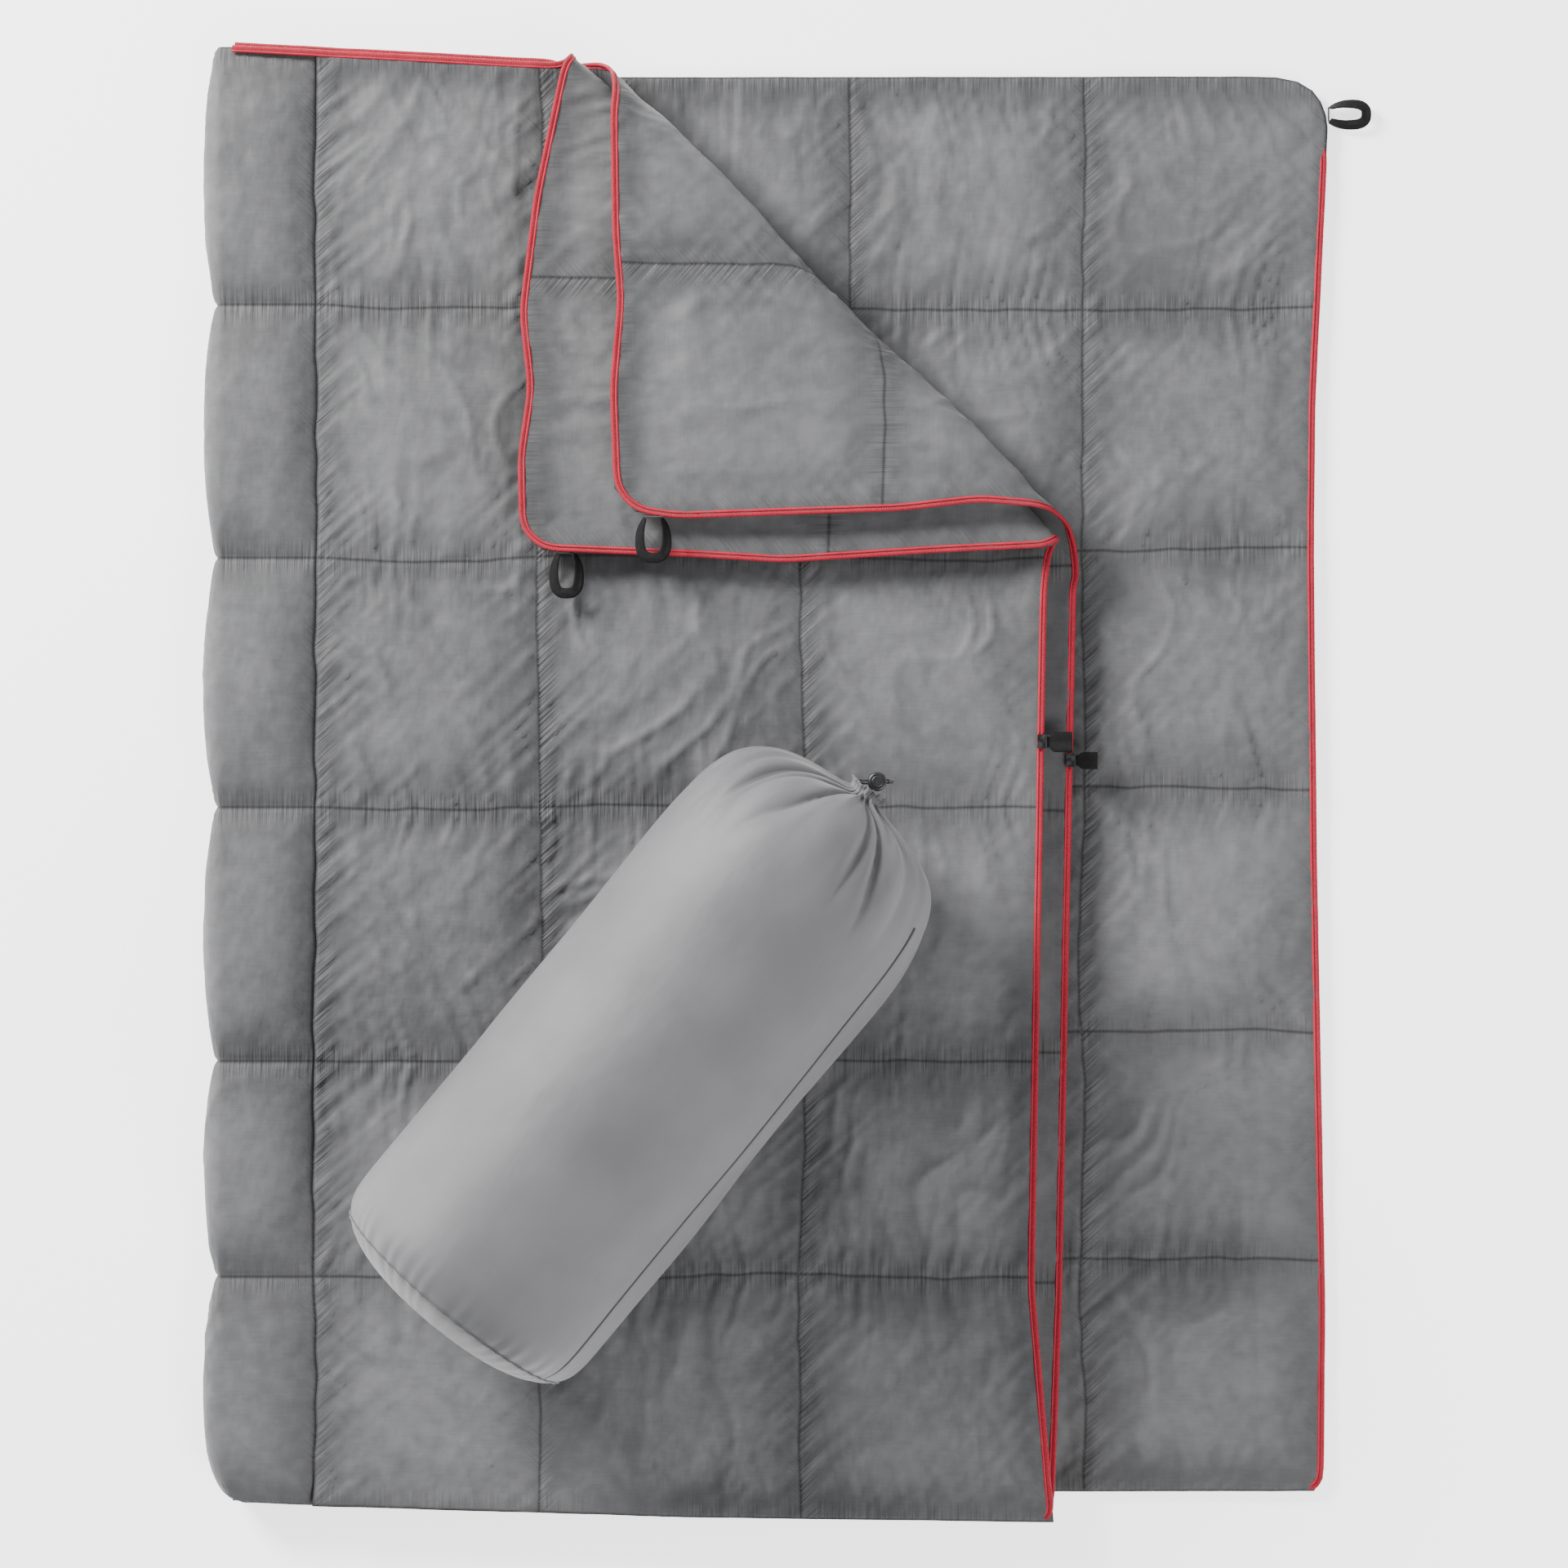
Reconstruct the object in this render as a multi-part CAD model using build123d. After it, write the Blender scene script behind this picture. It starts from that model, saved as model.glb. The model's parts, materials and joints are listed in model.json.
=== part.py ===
from build123d import *
import math
import os

# A double quilted sleeping bag, laid flat, with its filled stuff sack lying on it. From the ground up it is
# a base quilt, a liner quilt and a front quilt. The outer quilt folds over at the left, from base to front.
# The upper right corner of the liner and of the front is turned back over the front, about one diagonal bend.
# Millimetres, +Z up, +Y towards the head end. The origin is on the ground, at the middle of the outline.

# ---- driving dimensions ----
HALF_WIDTH = 764.0  # from the origin to the left fold, and to the tip of the base's corner loop
HALF_LENGTH = 958.0  # from the origin to the head edge, and to the foot edge
SHEET = 24.0  # thickness of one quilt
FABRIC = 2.0  # outer fabric or lining, with the puff that quilting gives it
GAP = 0.4  # clearance between pieces that move apart
TAPE_WIDTH = 9.0  # zip tape and coil together, as far as they stand out of a quilt's edge
TAPE_THICK = 1.6
COIL = 4.0  # the zip coil's width and height
LOOP_TALL = 14.0  # width of the webbing that the loops are made of
LOOP_THICK = 2.4
SACK_RADIUS = 181.0
SACK_LENGTH = 694.0  # from the end panel to the shoulder
SACK_TILT = math.degrees(math.atan2(641.0, 523.0))  # the sack's axis, counted from +X
SACK_FABRIC = 2.0

# ---- heights ----
BASE_Z = 0.0
LINER_Z = BASE_Z + SHEET + GAP
FRONT_Z = LINER_Z + SHEET
FRONT_CORNER_Z = FRONT_Z + SHEET + GAP
LINER_CORNER_Z = FRONT_CORNER_Z + SHEET + GAP
BEND_Z = FRONT_CORNER_Z - GAP / 2  # the axis of the diagonal bend
STACK_TOP = FRONT_Z + SHEET
FOLD_RADIUS = STACK_TOP / 2 - GAP
FOLD_X = -HALF_WIDTH + FOLD_RADIUS  # the axis of the left fold
FOLD_Z = STACK_TOP / 2
BEND_RADIUS = SHEET - GAP

# ---- outlines, outside the zip coil ----
SHEET_LEFT = FOLD_X + 12.5  # the quilts start here, clear of the roll's top and bottom
HEAD_LEFT = (SHEET_LEFT, HALF_LENGTH)
BEND_HEAD = (-285, 935)  # where the bend's axis meets the head edge
BEND_SIDE = (346, 307)  # where it meets the front's right edge
FOOT_LEFT = (SHEET_LEFT, -934)
# The straight stretch of each right edge, which its zip slider runs along.
FRONT_RUN = ((340, 250), (324, -652))
LINER_RUN = ((380, 260), (361, -678))
FRONT_EDGE = [FRONT_RUN[0], FRONT_RUN[1], (350, -HALF_LENGTH), (-108, -952), FOOT_LEFT]
LINER_EDGE = [LINER_RUN[0], LINER_RUN[1], (351, -946), FOOT_LEFT]
BASE_EDGE = [(SHEET_LEFT, 925), (680, 926), (712, 893), (712, 859), (695, 500), (693, 297), (697, -95),
             (708, -678), (706, -910), (694, -926), (SHEET_LEFT, -928)]
FRONT_CORNER_EDGE = [BEND_HEAD, (-322, 760), (-341, 610), (-330, 511), (-343, 424), (-341, 330),
                     (-312, 302), (-117, 294), (0, 287), (201, 300), BEND_SIDE]
LINER_CORNER_EDGE = [(-222, 872), (-220, 710), (-213, 623), (-223, 509), (-218, 380), (-191, 350),
                     (-138, 342), (148, 352), (254, 364), (293, 360)]


# ---- helpers ----
UP = (Align.CENTER, Align.CENTER, Align.MIN)  # a solid that stands on its place


def slab(outline, low, high):
    """A flat layer of a quilt: the outline, filled, from one height to another."""
    face = make_face(Polyline(*outline, close=True))
    return Pos(0, 0, low) * extrude(face, amount=high - low, dir=(0, 0, 1))


def moved_in(path, inset):
    """An open path moved to the left of its direction by inset, with mitred corners."""
    sides = []
    for (x0, y0), (x1, y1) in zip(path, path[1:]):
        length = math.hypot(x1 - x0, y1 - y0)
        sides.append(((y0 - y1) / length, (x1 - x0) / length))
    moved = []
    for i, (x, y) in enumerate(path):
        before = sides[max(i - 1, 0)]
        after = sides[min(i, len(sides) - 1)]
        mitre = 1 + before[0] * after[0] + before[1] * after[1]
        step = inset / mitre
        moved.append((x + step * (before[0] + after[0]), y + step * (before[1] + after[1])))
    return moved


def band(path, outer, inner, middle, thickness):
    """A strip along an open path, between two insets from it, centred on a height."""
    outline = moved_in(path, outer) + moved_in(path, inner)[::-1]
    return slab(outline, middle - thickness / 2, middle + thickness / 2)


def without(shape, rooms):
    """A solid with each of the given rooms cut away."""
    for room in rooms:
        shape = shape - room
    return shape


def quilt(name, outline, low, top_name, bottom_name, edges, rooms):
    """Writes a quilt's three layers: the bottom fabric, the batting and the top fabric.

    The layers stop short of the zip along each edge, and leave the given rooms.
    """
    borders = [band(edge, -1, TAPE_WIDTH, low + SHEET / 2, SHEET + 2) for edge in edges]
    layers = {
        f"{name}_{bottom_name}": (low, low + FABRIC),
        f"{name}_batting": (low + FABRIC, low + SHEET - FABRIC),
        f"{name}_{top_name}": (low + SHEET - FABRIC, low + SHEET),
    }
    for node, (bottom, top) in layers.items():
        write(without(slab(outline, bottom, top), borders + rooms), node)


def zips(name, edges, low, rooms):
    """Writes the zip tape and the zip coil along the edges of a quilt. The quilt is on an edge's left."""
    middle = low + SHEET / 2
    tapes = [without(band(edge, COIL, TAPE_WIDTH, middle, TAPE_THICK), rooms) for edge in edges]
    coils = [without(band(edge, 0, COIL, middle, COIL), rooms) for edge in edges]
    write(Part() + tapes, f"{name}_zip_tape")
    write(Part() + coils, f"{name}_zip_coil")


def write(shape, node):
    """Saves one sub-part."""
    shape.label = node
    export_step(shape, f"parts/{node}.step")


def rod(start, end, radius):
    """A round bar from one point to another."""
    line = Vector(*end) - Vector(*start)
    return Plane(origin=start, z_dir=line) * Cylinder(radius, line.length, align=UP)


# ---- the left fold ----
def fold_rod(radius):
    """A bar along the left fold, for the fold itself and for the room it needs."""
    return rod((FOLD_X, FOOT_LEFT[1], FOLD_Z), (FOLD_X, HEAD_LEFT[1], FOLD_Z), radius)


def left_fold():
    """The roll in which the outer quilt turns over from the base to the front."""
    core = fold_rod(FOLD_RADIUS - FABRIC)
    write(fold_rod(FOLD_RADIUS) - core, "fold_shell")
    write(core, "fold_batting")


# ---- the diagonal bend ----
def bend_rod(radius, extra=0.0):
    """A bar along the bend's axis. extra lengthens it at both ends."""
    start = Vector(*BEND_HEAD, BEND_Z)
    end = Vector(*BEND_SIDE, BEND_Z)
    along = (end - start).normalized()
    return rod(start - along * extra, end + along * extra, radius)


def front_bend():
    """The roll in which the front turns back on itself."""
    core = bend_rod(BEND_RADIUS - FABRIC)
    write(bend_rod(BEND_RADIUS) - core, "front_bend_shell")
    write(core, "front_bend_batting")


# ---- the quilts ----
def base():
    """The base quilt, which starts at the left fold."""
    edge = BASE_EDGE[::-1]
    rooms = [fold_rod(FOLD_RADIUS)]
    quilt("base", edge, BASE_Z, "lining", "bottom_shell", [edge], rooms)
    zips("base", [edge], BASE_Z, rooms)


def front():
    """The front quilt, up to the bend."""
    side = FRONT_EDGE[::-1] + [BEND_SIDE]
    head = [BEND_HEAD, HEAD_LEFT]
    rooms = [fold_rod(FOLD_RADIUS + GAP), bend_rod(BEND_RADIUS, extra=SHEET)]
    quilt("front", side + head, FRONT_Z, "shell", "lining", [side, head], rooms)
    zips("front", [side, head], FRONT_Z, rooms)


def liner():
    """The liner quilt, up to the bend."""
    side = LINER_EDGE[::-1]
    head = [BEND_HEAD, HEAD_LEFT]
    rooms = [fold_rod(FOLD_RADIUS + GAP)]
    quilt("liner", side + [BEND_SIDE] + head, LINER_Z, "top_fabric", "bottom_fabric", [side, head], rooms)
    zips("liner", [side, head], LINER_Z, rooms)


def turned_corner(name, edge, low, top_name, bottom_name):
    """A corner that is turned back over the front, with the zip along its free edges."""
    rooms = [bend_rod(BEND_RADIUS + GAP, extra=SHEET)]
    quilt(name, edge, low, top_name, bottom_name, [edge], rooms)
    zips(name, [edge], low, rooms)


# ---- webbing loops ----
LOOP_ROOT_GAP = 1.6  # from a loop's hinge line to its stitched end
BAR_TACK_RADIUS = 1.2


def webbing_loop(name, root, heading, width, reach, middle):
    """A loop of webbing on edge, drop-shaped from above, and the bar tack that holds its stitched end.

    root is the middle of the bar tack, and the loop reaches out along heading, in degrees from +X.
    """
    half = width / 2
    stem = (LOOP_ROOT_GAP, 0.62 * half)
    outer = [stem, (0.45 * reach, half), (0.83 * reach, 0.92 * half), (reach, 0.4 * half)]
    ring = outer + [(x, -y) for x, y in outer[::-1]]
    hole = [(LOOP_ROOT_GAP + LOOP_THICK, 0.62 * half - LOOP_THICK), (0.45 * reach, half - LOOP_THICK),
            (0.80 * reach, 0.9 * half - LOOP_THICK), (reach - LOOP_THICK, 0.3 * half)]
    hole = hole + [(x, -y) for x, y in hole[::-1]]
    low, high = middle - LOOP_TALL / 2, middle + LOOP_TALL / 2
    loop = slab(ring, low, high) - slab(hole, low - 1, high + 1)
    # The stitched end narrows to the hinge line, so that the loop can flip without cutting into the quilt.
    relief = extrude(
        Plane.XZ * make_face(Polyline((0, middle + 1), (5, middle + 8), (0, middle + 8), close=True)),
        amount=width, both=True,
    )
    loop = loop - relief - mirror(relief, Plane.XY.offset(middle))
    place = Pos(root[0], root[1], 0) * Rot(0, 0, heading)
    write(place * loop, f"{name}_loop")
    tack_half = stem[1]
    tack = rod((0, -tack_half, middle), (0, tack_half, middle), BAR_TACK_RADIUS)
    write(place * tack, f"{name}_bar_tack")


# ---- zip sliders and their webbing pulls ----
SLIDER_LONG = 18.0
SLIDER_TALL = 10.0
PIN_RADIUS = 1.2
PIN_OUT = 7.0  # from the coil's outer side to the pull's pin
PULL_THICK = 2.0
PULL_EYE = 3.2  # outer radius of the pull's eye
PULL_NECK = 8.0  # from the pin to the wide part of the pull


def run_place(run, y):
    """The point on a run at a height along the bag, and the turn that lines +Y up with the run."""
    (x0, y0), (x1, y1) = run
    x = x0 + (x1 - x0) * (y - y0) / (y1 - y0)
    return x, math.degrees(math.atan2(x1 - x0, y0 - y1))


def slider_and_pull(name, run, y, middle, pull_long, pull_wide):
    """A zip slider that holds the coil, with two ears, a pin, and a webbing pull on the pin."""
    x, turn = run_place(run, y)
    body = Pos(-2.5, 0, middle) * Box(11, SLIDER_LONG, SLIDER_TALL)
    channel = Pos(-COIL / 2 - 3, 0, middle) * Box(COIL + 6 + 2 * GAP, SLIDER_LONG + 2, COIL + 2 * GAP)
    body = body - channel
    ears = []
    for side in (-1, 1):
        ears.append(Pos(PIN_OUT / 2 + 1.5, side * 7.5, middle) * Box(PIN_OUT + 2, 2, 4.4))
    pin = rod((PIN_OUT, -7.5, middle), (PIN_OUT, 7.5, middle), PIN_RADIUS)
    place = Pos(x, y, 0) * Rot(0, 0, turn)
    write(place * (body + ears + [pin]), f"{name}_zip_slider")
    eye = rod((PIN_OUT, -6, middle), (PIN_OUT, 6, middle), PULL_EYE)
    tongue = Pos(PIN_OUT + pull_long / 2, 0, middle) * Box(pull_long, 12, PULL_THICK)
    grip_long = pull_long - PULL_NECK
    grip = Pos(PIN_OUT + pull_long - grip_long / 2, 0, middle) * Box(grip_long, pull_wide, PULL_THICK)
    hole = rod((PIN_OUT, -8, middle), (PIN_OUT, 8, middle), PIN_RADIUS + 0.3)
    write(place * (eye + tongue + grip - hole), f"{name}_pull_tab")


# ---- stuff sack ----
SACK_BASE = (-413.0, -643.0)  # the middle of the end panel
SACK_Z = STACK_TOP + GAP + SACK_RADIUS
END_BULGE = 34.0  # how far the filled end panel swells out
CORNER = 26.0  # where the end panel meets the corner, along the axis
CORNER_DROP = 8.0
END_SEAM = 32.0  # where the end panel's seam is, along the axis
NECK_START = 804.0  # where the gathered mouth's hem starts, along the axis
NECK_RADIUS = 22.0
NECK_BORE = 14.0
HEM_LONG = 12.0
PIPING_RADIUS = 2.4
ROOM = 500.0  # larger than the sack's width, for cutting


def sack_place():
    """From the sack's own frame, with its axis along +X, to where it lies."""
    return Pos(SACK_BASE[0], SACK_BASE[1], SACK_Z) * Rot(0, 0, SACK_TILT)


def sack_profile(inset):
    """Half the section of the filled sack, moved in from the fabric's outer side by inset."""
    radius = SACK_RADIUS - inset
    tip = CORNER - END_BULGE + inset
    rim = radius - CORNER_DROP
    swell = ThreePointArc((tip, 0), (tip + END_BULGE / 4, rim / 2), (CORNER, rim))
    corner = ThreePointArc(swell @ 1, (CORNER + 8, radius - 0.3 * CORNER_DROP), (CORNER + 20, radius))
    wall = Line(corner @ 1, (SACK_LENGTH, radius))
    shoulder = Spline(
        [wall @ 1, (772 - inset, 146 - inset), (NECK_START - 4 - inset, 76), (NECK_START, NECK_RADIUS)],
        tangents=[(1, 0), (0.1, -1)],
    )
    neck = Line(shoulder @ 1, (NECK_START, 0))
    axis = Line(neck @ 1, swell @ 0)
    return make_face([swell, corner, wall, shoulder, neck, axis])


def sack():
    """The filled sack: end panel, body tube, crown, end piping, side seam and filling."""
    outer = sack_place() * revolve(sack_profile(0), axis=Axis.X)
    filling = sack_place() * revolve(sack_profile(SACK_FABRIC), axis=Axis.X)
    skin = outer - filling
    low_side = (Align.MAX, Align.CENTER, Align.CENTER)
    high_side = (Align.MIN, Align.CENTER, Align.CENTER)
    end_room = sack_place() * Pos(END_SEAM, 0, 0) * Box(ROOM, ROOM, ROOM, align=low_side)
    crown_room = sack_place() * Pos(SACK_LENGTH, 0, 0) * Box(ROOM, ROOM, ROOM, align=high_side)
    write(skin & end_room, "sack_end_panel")
    write(skin & crown_room, "sack_crown")
    write(skin - end_room - crown_room, "sack_body")
    write(filling, "sack_filling")
    piping = sack_place() * Pos(END_SEAM, 0, 0) * Rot(0, 90, 0) * Torus(SACK_RADIUS - 3, PIPING_RADIUS)
    write(piping - outer, "sack_end_piping")
    middle = (END_SEAM + SACK_LENGTH) / 2
    seam = Box(SACK_LENGTH - END_SEAM - 30, 5, PIPING_RADIUS)
    seam = sack_place() * Rot(62, 0, 0) * Pos(middle, 0, SACK_RADIUS + 0.6) * seam
    write(seam - outer, "sack_side_seam")


# ---- drawcord and cord lock ----
LOCK = (116.5, 3.0)  # the barrel stands upright in front of the mouth
LOCK_RADIUS = 12.0
LOCK_TALL = 20.0
LOCK_Z = SACK_Z  # the middle of the cross bore
LOCK_LOW = LOCK_Z - 12
LOCK_BORE = (8.0, 4.0)  # width and height of the cross bore
LOCK_WALL = 2.0
PLUNGER_RADIUS = 7.5
PLUNGER_TRAVEL = 4.0
PLUNGER_OUT = 5.0  # how far the button stands out of the barrel
SPRING_WIRE = 0.6
SPRING_TURNS = 3
SPRING_RADIUS = 5.4
CORD_RADIUS = 1.5
CORD_RING = 18.0  # radius of the drawcord's ring in the hem
CORD_SIDE = 1.9  # half the distance between the drawcord's two ends
CORD_END = 15.0  # how far the ends reach past the middle of the lock
KNOT_RADIUS = 3.6
CORD_TURN = (91.0, 3.0)  # where the ends turn from the sack's axis towards the lock
TURN_RADIUS = 6.0


def neck_and_cord():
    """The hem of the mouth, and the drawcord: a ring in the hem and two ends through the cord lock."""
    mouth = sack_place() * Pos(NECK_START, 0, 0) * Rot(0, 90, 0)
    ring_place = mouth * Pos(0, 0, HEM_LONG / 2)
    ring_spot = ring_place * Pos(0, CORD_RING, 0)
    start = (ring_spot.position.X, ring_spot.position.Y)
    hem = mouth * Cylinder(NECK_RADIUS, HEM_LONG, align=UP)
    hem = hem - mouth * Pos(0, 0, HEM_LONG / 3) * Cylinder(NECK_BORE, HEM_LONG, align=UP)
    cord = [ring_place * Torus(CORD_RING, CORD_RADIUS)]
    far = (LOCK[0] + CORD_END, LOCK[1])
    for side in (-CORD_SIDE, CORD_SIDE):
        route = [(x, y, LOCK_Z) for x, y in moved_in([start, CORD_TURN, far], side)]
        line = FilletPolyline(*route, radius=TURN_RADIUS)
        cord.append(sweep(Plane(line @ 0, z_dir=line % 0) * Circle(CORD_RADIUS), path=line))
    cord.append(Pos(far[0] + KNOT_RADIUS - 1, far[1], LOCK_Z) * Sphere(KNOT_RADIUS))
    cord = Part() + cord
    write(hem - cord, "sack_neck_hem")
    write(cord, "sack_drawcord")


def cord_lock():
    """The barrel, with its cross bore and pocket, the plunger with its slot, and the spring under it."""
    barrel = Pos(LOCK[0], LOCK[1], LOCK_LOW) * Cylinder(LOCK_RADIUS, LOCK_TALL, align=UP)
    barrel = fillet(barrel.edges().filter_by(GeomType.CIRCLE), 3.5)
    floor = LOCK_LOW + LOCK_WALL
    pocket = Pos(LOCK[0], LOCK[1], floor) * Cylinder(PLUNGER_RADIUS + 0.3, LOCK_TALL, align=UP)
    bore = Pos(LOCK[0], LOCK[1], LOCK_Z) * Box(4 * LOCK_RADIUS, LOCK_BORE[0], LOCK_BORE[1])
    write(barrel - pocket - bore, "cord_lock_barrel")
    # The plunger stops on the spring when its coils are closed.
    spring_tall = 2 * SPRING_WIRE * SPRING_TURNS
    foot = floor + spring_tall + PLUNGER_TRAVEL + GAP
    top = LOCK_LOW + LOCK_TALL + PLUNGER_OUT
    plunger = Pos(LOCK[0], LOCK[1], foot) * Cylinder(PLUNGER_RADIUS, top - foot, align=UP)
    plunger = fillet(plunger.edges().filter_by(GeomType.CIRCLE).sort_by(Axis.Z)[-1], 1.5)
    # The slot is longer than the bore by the travel, so that the cord clears it at both ends of the press.
    slot = Box(4 * LOCK_RADIUS, LOCK_BORE[0], LOCK_BORE[1] + PLUNGER_TRAVEL, align=UP)
    slot = Pos(LOCK[0], LOCK[1], LOCK_Z - LOCK_BORE[1] / 2) * slot
    write(plunger - slot, "cord_lock_plunger")
    coils = []
    for turn in range(SPRING_TURNS):
        height = floor + SPRING_WIRE * (1 + 2 * turn)
        coils.append(Pos(LOCK[0], LOCK[1], height) * Torus(SPRING_RADIUS, SPRING_WIRE))
    write(Part() + coils, "cord_lock_spring")


# ---- the whole object ----
def main():
    """Writes every sub-part."""
    os.makedirs("parts", exist_ok=True)
    left_fold()
    front_bend()
    base()
    front()
    liner()
    turned_corner("front_corner", FRONT_CORNER_EDGE, FRONT_CORNER_Z, "lining", "shell")
    turned_corner("liner_corner", LINER_CORNER_EDGE, LINER_CORNER_Z, "bottom_fabric", "top_fabric")
    webbing_loop("base", (713.2, 877), 0, 30, HALF_WIDTH - 713.2, BASE_Z + SHEET / 2)
    webbing_loop("front_corner", (-281, 299.0), -90, 36, 54, FRONT_CORNER_Z + SHEET / 2)
    webbing_loop("liner_corner", (-168, 343.4), -90, 38, 54, LINER_CORNER_Z + SHEET / 2)
    slider_and_pull("front", FRONT_RUN, 55, FRONT_Z + SHEET / 2, 30, 26)
    slider_and_pull("liner", LINER_RUN, 31, LINER_Z + SHEET / 2, 26, 22)
    sack()
    neck_and_cord()
    cord_lock()


main()
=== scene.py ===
"""Looks for a quilted double sleeping bag and its stuff sack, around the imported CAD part. Metres."""
import json
import math

import bpy
import numpy as np
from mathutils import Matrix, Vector


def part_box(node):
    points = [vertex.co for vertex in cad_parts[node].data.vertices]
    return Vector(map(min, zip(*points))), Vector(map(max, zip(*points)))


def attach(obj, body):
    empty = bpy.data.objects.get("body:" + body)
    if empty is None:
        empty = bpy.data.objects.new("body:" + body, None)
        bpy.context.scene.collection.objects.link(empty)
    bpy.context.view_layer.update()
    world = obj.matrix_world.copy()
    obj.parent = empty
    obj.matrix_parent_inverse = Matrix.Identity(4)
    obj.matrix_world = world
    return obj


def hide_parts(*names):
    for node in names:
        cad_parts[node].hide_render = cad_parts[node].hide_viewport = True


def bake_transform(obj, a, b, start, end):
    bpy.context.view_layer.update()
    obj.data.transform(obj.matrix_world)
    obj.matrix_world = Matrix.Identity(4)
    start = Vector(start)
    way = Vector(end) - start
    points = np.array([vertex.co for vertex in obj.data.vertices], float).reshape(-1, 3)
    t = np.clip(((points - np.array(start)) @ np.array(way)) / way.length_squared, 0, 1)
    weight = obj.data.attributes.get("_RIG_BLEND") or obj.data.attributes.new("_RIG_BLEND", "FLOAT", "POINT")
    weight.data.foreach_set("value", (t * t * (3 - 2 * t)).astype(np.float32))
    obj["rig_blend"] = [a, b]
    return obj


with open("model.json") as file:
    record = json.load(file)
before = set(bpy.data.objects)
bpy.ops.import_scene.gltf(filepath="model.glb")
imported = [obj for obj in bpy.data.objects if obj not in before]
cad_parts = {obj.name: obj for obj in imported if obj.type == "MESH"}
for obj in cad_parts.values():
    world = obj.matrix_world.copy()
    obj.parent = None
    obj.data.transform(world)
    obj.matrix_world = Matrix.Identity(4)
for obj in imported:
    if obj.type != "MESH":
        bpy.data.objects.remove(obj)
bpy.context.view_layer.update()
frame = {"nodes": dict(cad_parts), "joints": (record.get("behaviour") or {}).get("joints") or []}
JOINTS = {joint["name"]: joint for joint in frame["joints"]}

# ---- places taken from the CAD part ----
FOLD_X = JOINTS["cover_open"]["pos_m"][0]  # the axis of the left fold
FOLD_Z = JOINTS["cover_open"]["pos_m"][2]
BEND_MIDDLE = np.array(JOINTS["liner_corner_turn"]["pos_m"])  # on the axis of the diagonal bend
BEND_ALONG = np.array(JOINTS["liner_corner_turn"]["axis"])[:2]  # towards the head edge
BEND_OUT = np.array([BEND_ALONG[1], -BEND_ALONG[0]])  # towards the corner, when it is opened out
BEND_Z = BEND_MIDDLE[2]


def middle_height(node):
    """The height of a CAD node's middle."""
    low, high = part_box(node)
    return (low.z + high.z) / 2


BASE_Z = middle_height("base_batting")
LINER_Z = middle_height("liner_batting")
FRONT_Z = middle_height("front_batting")
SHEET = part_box("front_shell")[1].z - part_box("front_lining")[0].z
HALF = SHEET / 2 - 0.0006  # from a quilt's middle to its highest crown
FRONT_ROLL = BEND_Z - FRONT_Z  # radius of the bend, at the middle of the front quilt
LINER_ROLL = BEND_Z - LINER_Z
BORDER = 0.0008  # half the thickness of a quilt's edge
QUILT_FILL = 0.55  # how full of batting each quilt is
SEAM_LEVEL = -0.0075  # the base's and the front's seams lie this far from the quilt's middle
FOLD_STRIP = 0.235  # width of the strip of quilt that goes over the left fold
STITCH = 0.0042  # from one quilting stitch to the next
WEBBING_WIDTH = 0.0135
WEBBING_THICK = 0.0020

# ---- outlines, as in the CAD part, but with a rounder corner on the base ----
SHEET_LEFT = FOLD_X + 0.0125
BEND_HEAD = (-0.285, 0.935)
BEND_SIDE = (0.346, 0.307)
BASE_HEAD = [(SHEET_LEFT, 0.925), (0.610, 0.9265), (0.645, 0.9255), (0.672, 0.920), (0.692, 0.908)]
BASE_SIDE = [(0.694, -0.926), (0.706, -0.910), (0.708, -0.678), (0.697, -0.095), (0.693, 0.297),
             (0.695, 0.500), (0.712, 0.859), (0.7095, 0.876), (0.703, 0.893), (0.692, 0.908)]
BASE_FOOT = [(SHEET_LEFT, -0.928), (0.694, -0.926)]
FRONT_SIDE = [(0.350, -0.958), (0.324, -0.652), (0.340, 0.250), BEND_SIDE]
FRONT_FOOT = [(SHEET_LEFT, -0.934), (-0.108, -0.952), (0.350, -0.958)]
FOOT_ZIP = [(-0.609, -0.938)]  # the foot zips start here, clear of the fold
FRONT_HEAD = [(SHEET_LEFT, 0.958), BEND_HEAD]
LINER_SIDE = [(0.351, -0.946), (0.361, -0.678), (0.380, 0.260), (0.384, 0.269)]
LINER_FOOT = [(SHEET_LEFT, -0.934), (0.351, -0.946)]
LINER_HEAD = [(SHEET_LEFT, 0.966), (-0.300, 0.944), BEND_HEAD]
# The turned corners, as they lie, from the bend's head end round to its side end.
FRONT_CORNER_HEAD = [BEND_HEAD, (-0.322, 0.760), (-0.341, 0.610), (-0.330, 0.511), (-0.343, 0.424),
                     (-0.341, 0.330), (-0.312, 0.302)]
FRONT_CORNER_SIDE = [BEND_SIDE, (0.201, 0.300), (0, 0.287), (-0.117, 0.294), (-0.312, 0.302)]
LINER_CORNER_HEAD = [(-0.222, 0.872), (-0.220, 0.710), (-0.213, 0.623), (-0.223, 0.509),
                     (-0.218, 0.380), (-0.191, 0.350)]
LINER_CORNER_SIDE = [(0.293, 0.360), (0.254, 0.364), (0.148, 0.352), (-0.138, 0.342), (-0.191, 0.350)]

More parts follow.
